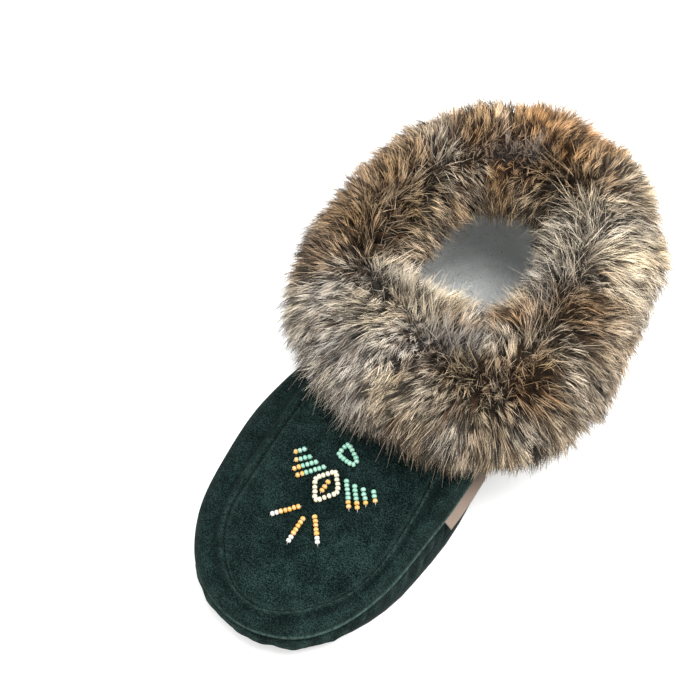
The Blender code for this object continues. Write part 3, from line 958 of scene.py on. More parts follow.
@dataclass
class SuedeUpper:
    """The wall that encloses the foot: turned-in margin, creased lower wall, overlapping lid edge, puffed
    band.
    """

    form: MoccasinForm
    around: int = 720
    wall_rows: int = 15
    band_rows: int = 34
    inner_rows: int = 6
    wall_top: float = 0.93
    pucker_pitch: float = 4.4
    pucker_height: float = 0.34
    throat_degrees: float = 98.0

    def lip_rows(self) -> tuple[tuple[float, ...], ...]:
        """The lid's cut edge from its underside round to its top: inset, height, painted highlight mixed with
        wear, painted shade.
        """
        under = ((self.form.tuck, -1.0, 0.0, 1.0), (0.7, -1.02, 0.0, 0.7), (0.12, -0.86, 0.55, 0.1))
        return under + ((-0.12, -0.35, 0.15, 0.1), (-0.14, 0.3, 0.75, 0.0), (0.02, 0.8, 0.7, 0.0))

    def outside(self, angle: Array) -> tuple[list[Array], list[Array], list[Array]]:
        """Every row of the wall's outer face with its marks.

        Args:
            angle: Angles round the shoe.

        Returns:
            The rows, and for each its painted highlight mixed with wear and its painted shade.
        """
        form, flat = self.form, np.zeros_like(angle)
        broad, small, bumps = Ripples(3, 34), Ripples(5, 9), Ripples(6, 4.5)
        out = np.insert(form.lid.outward(angle), 2, 0, 1)
        seam = form.seam.point(angle)
        path = np.linalg.norm(np.diff(seam, axis=0, append=seam[:1]), axis=1)
        phase = 2 * math.pi * np.cumsum(path) / self.pucker_pitch
        front = form.level("puff", angle)
        # Painted light: the highlights and wear marks fade on the inner side, as the key light falls from the
        # outer side.
        worn = 0.3 + 0.7 * fade(np.sin(angle), -0.6, 0.2)
        rows = [(form.lower_wall(angle, 0.0, form.flange), flat, flat)]
        for share in np.linspace(0, self.wall_top, self.wall_rows):
            row = form.lower_wall(angle, share)
            slack = fade(share, 0.0, 0.25) * (1 - fade(share, 0.86, 1.0))
            deep = form.creases(angle, share) * fade(share, 0.05, 0.3)
            uneven = (broad(row) * 0.45 + small(row) * 0.38 + bumps(row) * 0.16) * slack
            # Painted highlight mixed with wear on raised folds and bumps, and a strip at the wall's foot.
            rub = np.clip(-deep * 1.2 + uneven * 0.7, 0, 1) * 0.35 + 0.14 * (1 - fade(share, 0.0, 0.10))
            # Painted shade in the creases and dips, and under the lid's overhanging edge.
            dark = np.clip(deep * 0.42 - uneven * 0.45, 0, 0.7) + 0.45 * fade(share, 0.78, 0.93)
            rows.append((row + out * (uneven - deep)[:, None], rub, dark))
        # The lid's cut edge: painted highlight mixed with wear on its rim, painted shade under it.
        for inset, up, rub, dark in self.lip_rows():
            row = form.at_lid(angle, inset + flat, form.level("lid", angle) + form.lip * up)
            rows.append((row, rub * (0.55 + 0.45 * front) * worn, flat + dark))
        for share in np.linspace(0.015, 1.0, self.band_rows):
            row = form.band(angle, share)
            valley = hump(share, 0.70, 0.10)
            pucker = np.sin(phase + 0.8 * small(row)) * self.pucker_height
            pucker *= hump(share, 0.92, 0.07) + 0.45 * valley
            loose = fade(share, 0.03, 0.2) * (1 - fade(share, 0.9, 1.0))
            row[:, 2] += (pucker + broad(row * 1.6) * 0.35 * loose + small(row) * 0.10 * loose) * front
            # Painted highlight on the seam's ridge and the band's crest, mixed with wear, stronger where the
            # band puffs.
            lit = hump(share, 0.93, 0.05) * (0.19 + 0.12 * np.sin(phase)) + 0.04 * hump(share, 0.26, 0.16)
            rub = (lit + 0.10 * hump(share, 0.0, 0.03)) * (0.3 + 0.7 * front) * worn
            toe = fade(np.cos(angle), 0.2, 0.8)
            # Painted shade in the band's valley and along the seam, less at the toe.
            dark = (0.58 * valley + 0.3 * fade(share, 0.98, 1.0) * (1 - 0.6 * toe)) * front
            rows.append((row, rub, dark))
        return tuple(map(list, zip(*rows)))

    def inside(self, angle: Array) -> list[Array]:
        """The rows of the inner face, from the seam down to the turned-in margin.

        Args:
            angle: Angles round the shoe.

        Returns:
            The rows.
        """
        form = self.form
        stack = np.stack([form.band(angle, share, 0.9) for share in np.linspace(1.0, 0.1, self.inner_rows)])
        along = np.gradient(stack, axis=0)
        out = form.lid.outward(angle)
        run = (along[..., :2] * out).sum(-1)
        square = np.concatenate([out * along[..., 2:], -run[..., None]], -1)
        rows = list(stack + square / np.hypot(run, along[..., 2])[..., None] * form.wall)
        before_collar = np.abs(signed(angle, 2 * math.pi)) < math.radians(self.throat_degrees)
        rows[0] = np.where(before_collar[:, None], form.band(angle, 1.0) - upright(form.wall), rows[0])
        shares = np.linspace(0.85, 0.0, self.inner_rows)
        rows += [form.lower_wall(angle, share, form.wall) for share in shares]
        rows.append(form.lower_wall(angle, 0.0, form.flange))
        for row in rows[-2:]:
            row[:, 2] += form.wall
        return rows

    def dress(self, suede: Suede) -> Object:
        """Builds the wall as one closed mesh with its marks, and gives it its suede.

        Args:
            suede: Its finish.

        Returns:
            The piece.
        """
        angle = full_circle(self.around)
        rows, rubbed, hollow = self.outside(angle)
        inner = self.inside(angle)
        faces = grid_faces(len(rows) + len(inner), self.around, True, True)
        obj = build_object("upper_suede", np.concatenate(rows + inner), faces)
        blank = [np.zeros(self.around)] * len(inner)
        store(obj, rub=np.concatenate(rubbed + blank), hollow=np.concatenate(hollow + blank))
        return dressed(obj, suede.material("upper suede"), "suede", "upper")


@dataclass
class VampPlug:
    """The flat suede panel inside the seam, with a soft wave and its edge tucked down."""

    form: MoccasinForm
    motif: "Motif"
    inset: float = 0.05
    thickness: float = 1.8
    rows_along: int = 170
    columns: int = 84
    last_degrees: float = 95.0

    def dress(self, suede: Suede) -> Object:
        """Builds the panel as a closed sheet with its marks, and gives it its suede.

        Args:
            suede: Its finish.

        Returns:
            The piece.
        """
        form = self.form
        angle = np.radians(np.linspace(0.6, self.last_degrees, self.rows_along))
        sides = np.tile(np.sin(np.linspace(-math.pi / 2, math.pi / 2, self.columns)), self.rows_along)
        points = form.top(np.repeat(angle, self.columns), sides, self.inset)
        width = np.linalg.norm(form.top(angle, 1.0 + 0 * angle) - form.top(angle, -1.0 + 0 * angle), axis=1)
        from_side = np.repeat(width, self.columns) * (1 - np.abs(sides)) / 2
        from_edge = np.minimum(from_side, points[:, 1] - form.seam.toe)
        loose = fade(from_edge, 0.5, 9)
        points[:, 2] += Ripples(11, 30)(points) * 0.35 * loose + Ripples(12, 8)(points) * 0.07 * loose
        points[:, 2] -= 0.35 * (1 - fade(from_edge, 0.0, 1.2))
        points[:, 2] -= self.motif.dent(points)
        obj = closed_sheet("vamp_plug", points, points - upright(self.thickness), self.columns)
        # Painted highlight mixed with wear just inside the plug's edge.
        rub = 0.10 * hump(from_edge, 1.3, 0.7)
        # Painted shade where the plug's edge tucks under the band.
        dark = 0.45 * (1 - fade(from_edge, 0.0, 0.7)) + 0.10 * hump(from_edge, 3.0, 1.4)
        store(obj, rub=np.append(rub, 0 * rub), hollow=np.append(dark, 0 * dark))
        return dressed(obj, suede.material("vamp suede"), "suede", "plug")


# ------------------------------------------------------------------ beadwork
class Bead(Enum):
    """The bead colours."""

    MINT = srgb(122, 180, 157)
    AMBER = srgb(217, 159, 63)
    IVORY = srgb(212, 203, 175)
    WHITE = srgb(209, 209, 198)


STRING_ROWS = (
    # name, first bead across and up, last bead across and up, beads of each colour
    ("wing_1", 5.9, 6.4, 13.2, -1.9, ((Bead.MINT, 5), (Bead.AMBER, 2))),
    ("wing_2", 10.1, 6.5, 16.3, -0.2, ((Bead.MINT, 4), (Bead.AMBER, 2))),
    ("wing_3", 13.9, 7.2, 18.0, 3.4, ((Bead.MINT, 3), (Bead.AMBER, 1))),
    ("wing_4", 17.9, 9.0, 20.6, 6.3, ((Bead.MINT, 2), (Bead.AMBER, 1))),
    ("tail_side", 4.3, -13.2, 11.6, -21.2, ((Bead.AMBER, 5), (Bead.WHITE, 2))),
)
MIDDLE_ROWS = (
    # the same, for the strings without a mirror image
    ("tail_middle", 0.5, -16.4, 1.2, -27.0, ((Bead.AMBER, 5), (Bead.WHITE, 2))),
    ("eye", -0.4, 1.9, -0.3, -2.5, ((Bead.AMBER, 3),)),
)
LOOP_ROWS = (
    # closed strings: name, corners, beads on each side, colour
    ("head", ((-3.4, 20.2), (4.9, 16.0), (4.1, 13.2), (-4.3, 14.0)), (5, 1, 5, 3), Bead.MINT),
    ("diamond", ((-0.4, 7.6), (6.1, 0.5), (0.1, -7.6), (-6.1, 0.6)), (5, 5, 5, 5), Bead.IVORY),
)


@dataclass
class Motif:
    """Where each string of the beadwork lies on the vamp."""

    form: MoccasinForm
    middle: tuple[float, float] = (-1.8, -151.0)
    turn_degrees: float = -6.0
    bead: float = 2.2
    gap: float = 0.3
    unevenness: float = 0.06
    dent_depth: float = 0.25
    dent_reach: float = 2.4

    def on_vamp(self, across: Array, up: Array) -> Array:
        """Points on the vamp, from places in the motif's own plane.

        Args:
            across: How far towards the outer side.
            up: How far towards the heel.

        Returns:
            The points.
        """
        turn = math.radians(self.turn_degrees)
        x = self.middle[0] + across * math.cos(turn) - up * math.sin(turn)
        y = self.middle[1] + across * math.sin(turn) + up * math.cos(turn)
        seam = self.form.seam
        angle = np.arccos(1 - 2 * (y - seam.toe) / (seam.heel - seam.toe))
        inner, outer = seam.point(-angle)[:, 0], seam.point(angle)[:, 0]
        return self.form.top(angle, 2 * (x - inner) / (outer - inner) - 1)

    def flat_strings(self) -> dict[str, tuple[Array, list[Bead], bool]]:
        """Every string by its CAD node, in the motif's own plane.

        Returns:
            Its beads' middles and colours, and whether it is closed.
        """
        found = {}
        for name, corners, counts, colour in LOOP_ROWS:
            sides = zip(corners, corners[1:] + corners[:1], counts)
            places = [
                np.array(start) + (np.array(end) - start) * i / count
                for start, end, count in sides
                for i in range(count)
            ]
            places = np.array(places)
            places = places * 0.56 + (np.roll(places, 1, 0) + np.roll(places, -1, 0)) * 0.22
            found["beads_" + name] = (places, [colour] * len(places), True)
        sided = [(label, sign, row) for row in STRING_ROWS for label, sign in (("_outer", 1), ("_inner", -1))]
        sided += [("", 1, row) for row in MIDDLE_ROWS]
        for label, sign, (name, x0, y0, x1, y1, colours) in sided:
            beads = [colour for colour, count in colours for _ in range(count)]
            share = np.linspace(0, 1, len(beads))[:, None]
            places = np.array([sign * x0, y0]) + share * np.array([sign * (x1 - x0), y1 - y0])
            found["beads_" + name + label] = (places, beads, False)
        return found

    def strings(self) -> dict[str, tuple[Array, list[Bead], bool]]:
        """Every string on the vamp, set by hand and so a little uneven.

        Returns:
            By its CAD node: its beads' middles and colours, and whether it is closed.
        """
        draw = np.random.default_rng(41)
        result = {}
        for name, (places, beads, closed) in self.flat_strings().items():
            places = places + draw.normal(0, self.unevenness, places.shape)
            result[name] = (self.on_vamp(*places.T), beads, closed)
        return result

    def dent(self, points: Array) -> Array:
        """How deep the strings pull the suede in.

        Args:
            points: Places on the suede.

        Returns:
            The depth at each.
        """
        nearest = np.full(len(points), np.inf)
        for middle in np.concatenate([middles for middles, _, _ in self.strings().values()]):
            nearest = np.minimum(nearest, ((points[:, :2] - middle[:2]) ** 2).sum(1))
        return self.dent_depth * np.exp(-nearest / self.dent_reach**2)


@dataclass(frozen=True)
class Glass:
    """Opaque glossy glass, a little uneven from bead to bead."""

    roughness: float = 0.16
    cloud: Triple = (0.95, 0.95, 0.9)

    def material(self, name: str) -> Material:
        """Builds the material; its mesh has the attribute bead_colour.

        Args:
            name: Its name.

        Returns:
            The material.
        """
        finish = Finish(name, Roughness=self.roughness, Coat_Weight=0.5, Coat_Roughness=0.05, IOR=1.5)
        clouded = finish.span(finish.noise(1.6, 2), 0.35, 0.7) * 0.22
        colour = finish.blend(clouded, finish.attribute("bead_colour", "Color"), self.cloud)
        return finish.done(colour, finish.noise(0.7, 1), 0.03)


@dataclass(frozen=True)
class Thread:
    """Twisted sewing thread."""

    colour: Triple = srgb(226, 224, 214)

    def material(self, name: str) -> Material:
        """Builds the material.

        Args:
            name: Its name.

        Returns:
            The material.
        """
        finish = Finish(name, Roughness=0.7, Specular_IOR_Level=0.3)
        twist = finish.noise(0.35, 1)
        return finish.done(finish.blend(twist, tuple(c * 0.7 for c in self.colour), self.colour), twist, 0.08)


@dataclass
class Beadwork:
    """Single beads threaded in strings, and the thread that shows at their ends."""

    motif: Motif
    bead_sides: int = 14
    bead_half: float = 0.83
    hole: float = 0.34
    hole_edge: float = 0.46
    thread_radius: float = 0.13

    def bead(self) -> Object:
        """One bead round the Z axis, a rounded ring with its hole.

        Returns:
            The bead.
        """
        radius, half = self.motif.bead / 2, self.bead_half
        mouth = [(self.hole_edge, half * 0.93), (self.hole, half * 0.72)]
        bulge = [
            (radius * (0.46 + 0.54 * math.cos(a)), half * math.sin(a))
            for a in np.radians([-70, -46, -16, 16, 46, 70])
        ]
        profile = [(r, -z) for r, z in reversed(mouth)] + bulge + mouth
        points = [
            [r * math.cos(t), r * math.sin(t), z] for r, z in profile for t in full_circle(self.bead_sides)
        ]
        return build_object("bead_pattern", points, grid_faces(len(profile), self.bead_sides, True, True))

    def thread(self, middles: Array, along: Array, closed: bool) -> tuple[Array, list[Sequence[int]]]:
        """The thread through one string, with its ends going down into the suede.

        Args:
            middles: The beads' middles.
            along: The string's direction at each.
            closed: Whether the string is closed.

        Returns:
            Points, and the point numbers of each face.
        """
        half = self.motif.bead * 0.46
        down = upright(self.motif.bead * 0.62)
        first = middles[0] - along[0] * half
        last = middles[0] if closed else middles[-1] + along[-1] * half
        ends = [] if closed else [last + along[-1] * 0.3 - down]
        path = np.array([first - along[0] * 0.3 - down, first, *middles, last, *ends])
        return tube(path, self.thread_radius)

    def dress(self, glass: Glass, thread: Thread) -> list[Object]:
        """Builds every string and its thread.

        Args:
            glass: The beads' finish.
            thread: The thread's finish.

        Returns:
            The pieces.
        """
        tree = OnPoints("beads on a string", "Z", 1.0, 1.07, 7)
        look = {"Shape": self.bead(), "Material": glass.material("bead glass")}
        lift = upright(self.motif.bead / 2 + self.motif.gap * 0.2)
        pieces, thread_points, thread_faces = [], [], []
        slots = {Bead.MINT: "mint_glass", Bead.AMBER: "amber_glass", Bead.IVORY: "ivory_glass"}
        for name, (middles, colours, closed) in self.motif.strings().items():
            middles = middles + lift
            run = np.roll(middles, -1, 0) - np.roll(middles, 1, 0) if closed else np.gradient(middles, axis=0)
            along = unit(run)
            shades = np.array([colour.value for colour in colours])
            piece = tree.set_out(name.replace("beads_", "beadwork_"), middles, along, shades, **look)
            pieces.append(dressed(piece, None, slots[colours[0]], name))
            points, faces = self.thread(middles, along, closed)
            thread_faces += [[i + len(thread_points) for i in face] for face in faces]
            thread_points += list(points)
        bpy.data.objects.remove(look["Shape"])
        threads = build_object("bead_threads", thread_points, thread_faces)
        return [*pieces, dressed(threads, thread.material("bead thread"), "ivory_glass")]


# ------------------------------------------------------------------ seam stitches and tab
@dataclass
class SeamStitches:
    """Small whipped stitches that draw the band's rolled edge to the vamp."""

    form: MoccasinForm
    pitch: float = 4.4
    half_length: float = 1.35
    thread_radius: float = 0.15
    last_degrees: float = 93.0

    def stitch(self) -> Object:
        """One stitch: X goes across the seam, Z up.

        Returns:
            The stitch.
        """
        across = np.linspace(-self.half_length, self.half_length, 7)
        path = np.stack([across * 0.6, across * 0.2, 0.12 - 0.30 * across**2], 1)
        return build_object("stitch_pattern", *tube(path, self.thread_radius))

    def dress(self, thread: Thread) -> Object:
        """Sets a stitch at every pitch along the seam.

        Args:
            thread: Its finish.

        Returns:
            The piece.
        """
        limit = math.radians(self.last_degrees)
        angle = np.linspace(-limit, limit, 4000)
        path = self.form.band(angle, 0.97)
        length = np.append(0, np.cumsum(np.linalg.norm(np.diff(path, axis=0), axis=1)))
        at = np.interp(np.arange(self.pitch / 2, length[-1], self.pitch), length, angle)
        middles = self.form.band(at, 0.985) - upright(0.10)
        out = self.form.seam.outward(at)
        along = np.insert(out, 2, 0.12, 1)
        look = {"Shape": self.stitch(), "Material": thread.material("seam thread")}
        tree = OnPoints("stitches on a seam", "X", 0.9, 1.1, 3)
        piece = tree.set_out("seam_stitches", middles, along, **look)
        bpy.data.objects.remove(look["Shape"])
        return dressed(piece, None, "suede")


@dataclass(frozen=True)
class WovenCloth:
    """Plain closely woven ribbon."""

    colour: Triple = srgb(145, 128, 115)
    yarn: float = 0.42

    def material(self, name: str) -> Material:
        """Builds the material; its mesh has the attribute weave, in millimetres.

        Args:
            name: Its name.

        Returns:
            The material.
        """
        finish = Finish(name, Roughness=0.85, Specular_IOR_Level=0.25)
        along, across, _ = finish.parts(finish.attribute("weave", "Vector"))
        warp, weft = (finish.math("SINE", way * (math.pi / self.yarn)) for way in (along, across))
        over = warp * weft * 0.5 + 0.5
        dark, soiled = (tuple(c * share for c in self.colour) for share in (0.72, 0.66))
        soil = finish.span(finish.noise(7, 3), 0.35, 0.75) * 0.25
        colour = finish.blend(over * 0.7, dark, self.colour)
        return finish.done(finish.blend(soil, colour, soiled), over, 0.10)


@dataclass
class SideTab:
    """The bare cloth tab caught in the lid's seam on the outer side."""

    form: MoccasinForm
    reach: float = 3.5
    length: float = 31.0
    root: float = 0.15
    lift: float = 0.3
    thickness: float = 0.7
    droop: float = 3.0
    long_steps: int = 64
    out_steps: int = 14

    def dress(self, cloth: WovenCloth) -> Object:
        """Builds the tab and gives it its weave.

        Args:
            cloth: Its finish.

        Returns:
            The piece.
        """
        share = np.repeat(np.linspace(0, 1, self.long_steps + 1), self.out_steps + 1)
        out = np.tile(np.linspace(0, 1, self.out_steps + 1), self.long_steps + 1)
        angle = np.radians(TAB_DEGREES[0] + (TAB_DEGREES[1] - TAB_DEGREES[0]) * share)
        wave = 0.28 * np.sin(share * 7.5 + 0.6) * out + 0.12 * np.sin(share * 19) * out**2
        height = self.form.level("lid", angle) + self.lift - self.droop * out**1.25 + wave
        points = self.form.at_lid(angle, self.root - (self.reach + self.root) * out, height)
        rounding = np.sqrt(np.clip(1 - (2 * out - 1) ** 6, 0, 1))
        half = upright(self.thickness / 2 * (0.45 + 0.55 * rounding))
        obj = closed_sheet("side_tab_cloth", points + half, points - half, self.out_steps + 1)
        flat = np.stack([share * self.length, out * self.reach, 0 * out], 1)
        store(obj, weave=np.concatenate([flat, flat]))
        return dressed(obj, cloth.material("ribbon cloth"), "cloth", "side_tab")


# ------------------------------------------------------------------ sole and lining
@dataclass(frozen=True)
class Rubber:
    """Dark crepe rubber with a fine pebbled tread."""

    dark: Triple = srgb(9, 19, 18)
    worn: Triple = srgb(24, 35, 33)
    pebble: float = 2.4

    def material(self, name: str) -> Material:
        """Builds the material.

        Args:
            name: Its name.

        Returns:
            The material.
        """
        finish = Finish(name, Roughness=0.8, Specular_IOR_Level=0.3)
        dust = finish.span(finish.noise(9, 4, 0.6), 0.42, 0.72) * 0.6
        sizes = {"Vector": finish.place, "Scale": 1 / (self.pebble * MM)}
        pebbles = finish.get("ShaderNodeTexVoronoi", {"feature": "SMOOTH_F1"}, "Distance", **sizes)
        return finish.done(finish.blend(dust, self.dark, self.worn), pebbles, 0.35)


@dataclass(frozen=True)
class Fleece:
    """Grey-white sheared pile, trodden under the foot, with painted shade that darkens it towards the heel.
    """

    pale: Triple = srgb(230, 232, 231)
    grey: Triple = srgb(203, 205, 204)
    fleck: Triple = srgb(96, 92, 88)
    shaded: Triple = srgb(190, 192, 191)

    def material(self, name: str, pile: bool) -> Material:
        """Builds the material.

        Args:
            name: Its name.
            pile: Whether it is for the single tufts, which carry the attribute tuft_tone.

        Returns:
            The material.
        """
        finish = Finish(name, Roughness=0.95, Specular_IOR_Level=0.15, Sheen_Weight=0.1)
        cloud = finish.span(finish.noise(11, 3), 0.3, 0.7) * 0.55
        colour = finish.blend(cloud, self.pale, self.grey)
        # Painted shade: the pile turns darker towards the heel, deep inside the shoe.
        _, heelwards, _ = finish.parts(finish.place)
        colour = finish.blend(finish.span(heelwards, -0.01, 0.05) * 0.6, colour, self.shaded)
        if pile:
            tone = finish.attribute("tuft_tone")
            colour = finish.blend(finish.span(tone, 0.0, 1.0, 0.45), colour, self.grey)
            return finish.done(finish.blend(finish.span(tone, 0.93, 0.97), colour, self.fleck))
        speckle = finish.noise(0.8, 2, 0.7)
        return finish.done(finish.blend(finish.span(speckle, 0.35, 0.75), colour, self.grey), speckle, 0.5)


@dataclass
class FleeceLining:
    """The pile inside: a sleeve against the wall, the underside of the vamp, and the footbed."""

    form: MoccasinForm
    around: int = 180
    clear: float = 0.25
    thickness: float = 0.5
    footbed_floor: float = 6.6
    footbed: float = 5.5
    footbed_clear: float = 0.4
    footbed_press: float = 1.1
    footbed_wave: float = 0.25
    under_lid: float = 0.88
    toe_end: float = 34.0
    heel_end: float = 30.0
    pile_length: float = 1.5
    pile_width: float = 0.38
    tufts: int = 18500
    middle_height: float = 26.0
    dark_from: float = 118.0
    dark_to: float = 150.0

    def sleeve(self) -> Object:
        """The thin sleeve inside the wall and under the vamp, as one closed sheet.

        Returns:
            The sleeve.
        """
        form = self.form
        angle = full_circle(self.around)
        shift = form.wall + self.clear
        out = form.lid.outward(angle)
        tall = form.level("lid", angle) - form.lip - form.sole_top
        rows = []
        for rise, inwards in ((-0.5, 7.0), (0.1, 5.0), (0.9, 3.2), (2.4, 1.5), (4.6, 0.4), (6.5, 0.0)):
            share = np.minimum(0.8, (self.footbed_floor + self.footbed - form.sole_top + rise) / tall)
            rows.append(form.lower_wall(angle, share, shift + inwards))
        for step in (0.3, 0.6, 0.9):
            rows.append(form.lower_wall(angle, share + (self.under_lid - share) * step, shift))
        for share in np.linspace(0.12, 1.0, 8):
            row = form.band(angle, share, 0.85)
            row[:, :2] -= out * shift * (1 - 0.55 * share)
            row[:, 2] -= shift * (0.35 + 0.75 * share)
            rows.append(row)
        behind = np.insert(out * self.thickness * 0.8, 2, self.thickness * 0.6, 1)
        rows += [row - behind for row in reversed(rows)]
        faces = grid_faces(len(rows), self.around, True, True)
        return build_object("lining_sleeve", np.concatenate(rows), faces)

    def drawn(self, ring: Array, share: float) -> Array:
        """A ring of the footbed drawn in towards the line down its middle.

        Args:
            ring: The ring's points.
            share: How far it is drawn in.

        Returns:
            The points, at the footbed's floor.
        """
        form = self.form
        result = ring.copy()
        middle_x = form.lid.middle(from_toe(full_circle(self.around)))
        ends = np.clip(ring[:, 1], form.toe_tip + self.toe_end, form.heel_back - self.heel_end)
        result[:, 0] += (middle_x - ring[:, 0]) * share
        result[:, 1] += (ends - ring[:, 1]) * share
        result[:, 2] = self.footbed_floor + form.sole_lift(result[:, 1])
        return result

    def bed(self) -> Object:
        """The soft footbed, rounded at its edge and pressed where the foot rests.

        Returns:
            The footbed.
        """
        form = self.form
        angle = full_circle(self.around)
        inset = form.level("inset", angle) + form.wall + form.gap + self.footbed_clear
        fine = Ripples(21, 26)
        rings = []
        for more, up in ((0.7, 0.0), (0.1, 0.7), (0.0, 1.8), (0.0, 3.2), (0.4, 4.6), (1.4, 5.4), (3.2, 5.5)):
            lift = form.sole_lift(form.at_lid(angle, inset + more, 0.0)[:, 1])
            rings.append(form.at_lid(angle, inset + more, self.footbed_floor + up + lift))
        base, top = rings[0], rings[-1]
        for share in np.linspace(0.12, 0.98, 12):
            ring = self.drawn(top, share)
            wave = self.footbed_wave * fine(ring) * fade(share, 0, 0.3)
            ring[:, 2] += self.footbed - self.footbed_press * fade(share, 0, 0.6) + wave
            rings.append(ring)
        rings = [self.drawn(base, 0.98), self.drawn(base, 0.5)] + rings
        faces = list(grid_faces(len(rings), self.around, wrap_columns=True))
        for first, way in ((0, 1), ((len(rings) - 1) * self.around, -1)):
            for i in range(self.around // 2):
                corners = [first + k % self.around for k in (i, i + 1, -i - 1, -i)]
                faces.append(list(dict.fromkeys(corners[::way])))
        return build_object("footbed", np.concatenate(rings), faces)

    def pattern(self) -> Pattern:
        """The tree that stands short tufts on the faces that look inwards.

        Returns:
            The tree.
        """
        tree = Pattern("pile", Density="Float", Length="Float", Width="Float")
        spread = tree.sown(tree.number("pile") * tree.given["Density"], 5)
        upwards = tree.facing("Z", tree.out(spread, "Normal") + tree.scatter(0.75, 8))
        turn = {"Axis": (0.0, 0.0, 1.0), "Angle": tree.random(0.0, 6.28, 9)}
        turned = {"Rotation": upwards, "Rotate_By": tree.get("FunctionNodeAxisAngleToRotation", **turn)}
        spun = tree.get("FunctionNodeRotateRotation", {"rotation_space": "LOCAL"}, **turned)
        blade = tree.get("GeometryNodeMeshCone", None, "Mesh", Vertices=3, Radius_Bottom=0.5, Depth=1.0)
        blade = tree.get("GeometryNodeTransform", Geometry=blade, Scale=(1.0, 0.45, 1.0))
        points = tree.keep(tree.out(spread, "Points"), tuft_tone=tree.random(0.0, 1.0, 12))
        width, height = tree.given["Width"], tree.given["Length"] * tree.random(0.7, 1.15, 10)
        stretch = tree.get("ShaderNodeCombineXYZ", X=width, Y=width, Z=height)
        return tree.close(tree.copies(Points=points, Instance=blade, Rotation=spun, Scale=stretch))

    def inward(self, backing: Object) -> Array:
        """Where the pile stands: on faces towards the foot, from the heel to the dark of the toe.

        Args:
            backing: The sleeve or the footbed.

        Returns:
            The pile's density at each of its points, 0 to 1.
        """
        places = np.array([point.co for point in backing.data.vertices]) / MM
        normals = np.array([point.normal for point in backing.data.vertices])
        if backing.name == "footbed":
            facing = fade(normals[:, 2], 0.2, 0.6)
        else:
            middle = places * (0, 1, 0) + upright(self.middle_height)
            facing = fade((unit(middle - places) * normals).sum(1), 0.0, 0.4)
        return facing * (1 - fade(-places[:, 1], self.dark_from, self.dark_to) * 0.8)

    def dress(self, fleece: Fleece) -> list[Object]:
        """Builds the sleeve, the footbed and the pile on both.

        Args:
            fleece: The pile's finish.

        Returns:
            The pieces.
        """
        finish = fleece.material("fleece backing", False)
        size = {"Length": self.pile_length * MM, "Width": self.pile_width * MM}
        size["Material"] = fleece.material("fleece pile", True)
        tree = self.pattern()
        pieces = []
        for backing, part, nodes in ((self.sleeve(), 0.55, ()), (self.bed(), 0.45, ("insole",))):
            share = self.inward(backing)
            store(backing, pile=share)
            density = self.tufts * part / max(mean_area(backing, share), 1e-6)
            name = backing.name.replace("lining_", "") + "_pile"
            pile = tree.run(backing, name, ("tuft_tone",), Density=density, **size)
            forget(backing.data)
            pieces += [dressed(backing, finish, "fleece", *nodes), dressed(pile, None, "fleece")]
        return pieces


@dataclass(frozen=True)
class Outsole:
    """The thin rubber sole, as designed, with its tread in the finish."""

    node: str = "sole"

    def dress(self, rubber: Rubber) -> Object:
        """Gives the sole its rubber.

        Args:
            rubber: Its finish.

        Returns:
            The sole.
        """
        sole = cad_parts[self.node]
        sole.data.materials.clear()
        sole.data.materials.append(rubber.material("crepe rubber"))
        return sole


# ------------------------------------------------------------------ fur
class Coat(Enum):
    """Hair colours of one patch of the pelt: at the root, in the light band and at the tip."""

    SILVER = (srgb(63, 58, 54), srgb(230, 221, 206), srgb(104, 95, 87))
    CREAM = (srgb(88, 81, 74), srgb(244, 231, 207), srgb(150, 134, 112))
    TAN = (srgb(60, 50, 41), srgb(222, 206, 182), srgb(60, 48, 37))
    RUSSET = (srgb(64, 44, 29), srgb(219, 173, 122), srgb(68, 46, 28))
    BROWN = (srgb(50, 36, 25), srgb(211, 177, 137), srgb(42, 30, 20))
    DUN = (srgb(51, 44, 37), srgb(196, 180, 157), srgb(42, 34, 27))
    SLATE = (srgb(76, 75, 76), srgb(176, 170, 162), srgb(98, 94, 91))
    SABLE = (srgb(27, 21, 16), srgb(220, 196, 163), srgb(20, 15, 11))


FUR_ZONES = {
    # the patches of each coat: turn, side, reach in mm
    Coat.SILVER: (
        (325, 96, 14), (318, 50, 22), (335, 20, 20), (348, 52, 18), (352, 0, 14), (328, 120, 12),
        (320, 108, 9), (98, 118, 14), (232, 106, 7), (240, 124, 6),
    ),
    Coat.CREAM: (
        (346, 128, 14), (342, 104, 16), (354, 120, 13), (354, 108, 10), (72, 132, 10), (108, 82, 14),
        (112, 54, 18), (124, 100, 14),
    ),
    Coat.TAN: (
        (4, 22, 16), (18, 52, 14), (16, 132, 11), (30, 132, 12), (28, 66, 8), (46, 98, 10), (86, 112, 8),
        (62, 66, 12), (86, 38, 16), (118, 10, 18), (140, 56, 18), (150, 10, 20), (210, 76, 14),
        (200, 30, 20), (222, 132, 9), (228, 82, 12), (286, 10, 20),
    ),
    Coat.RUSSET: (
        (10, 112, 4), (20, 108, 4), (58, 124, 10), (164, 66, 18), (188, 72, 18), (200, 142, 10),
        (216, 92, 14),
    ),
    Coat.BROWN: (
        (300, 50, 16), (38, 72, 6), (46, 60, 9), (80, 70, 14), (90, -25, 16), (148, 96, 13), (166, 126, 9),
        (180, 146, 10), (270, 84, 14), (292, 90, 12), (250, 60, 20), (266, 20, 24), (236, 10, 22),
    ),
    Coat.DUN: ((28, 20, 16), (14, -10, 14), (38, 34, 12), (45, 0, 14), (66, 30, 16)),
    Coat.SLATE: (
        (8, 92, 6), (19, 93, 6), (28, 92, 7), (78, 110, 5), (118, 114, 4), (178, 118, 6), (192, 120, 6),
        (206, 120, 6),
    ),
    Coat.SABLE: (
        (158, 148, 12), (176, 172, 12), (212, 168, 12), (252, 112, 12), (262, 140, 14), (278, 118, 14),
        (296, 124, 12),
    ),
}
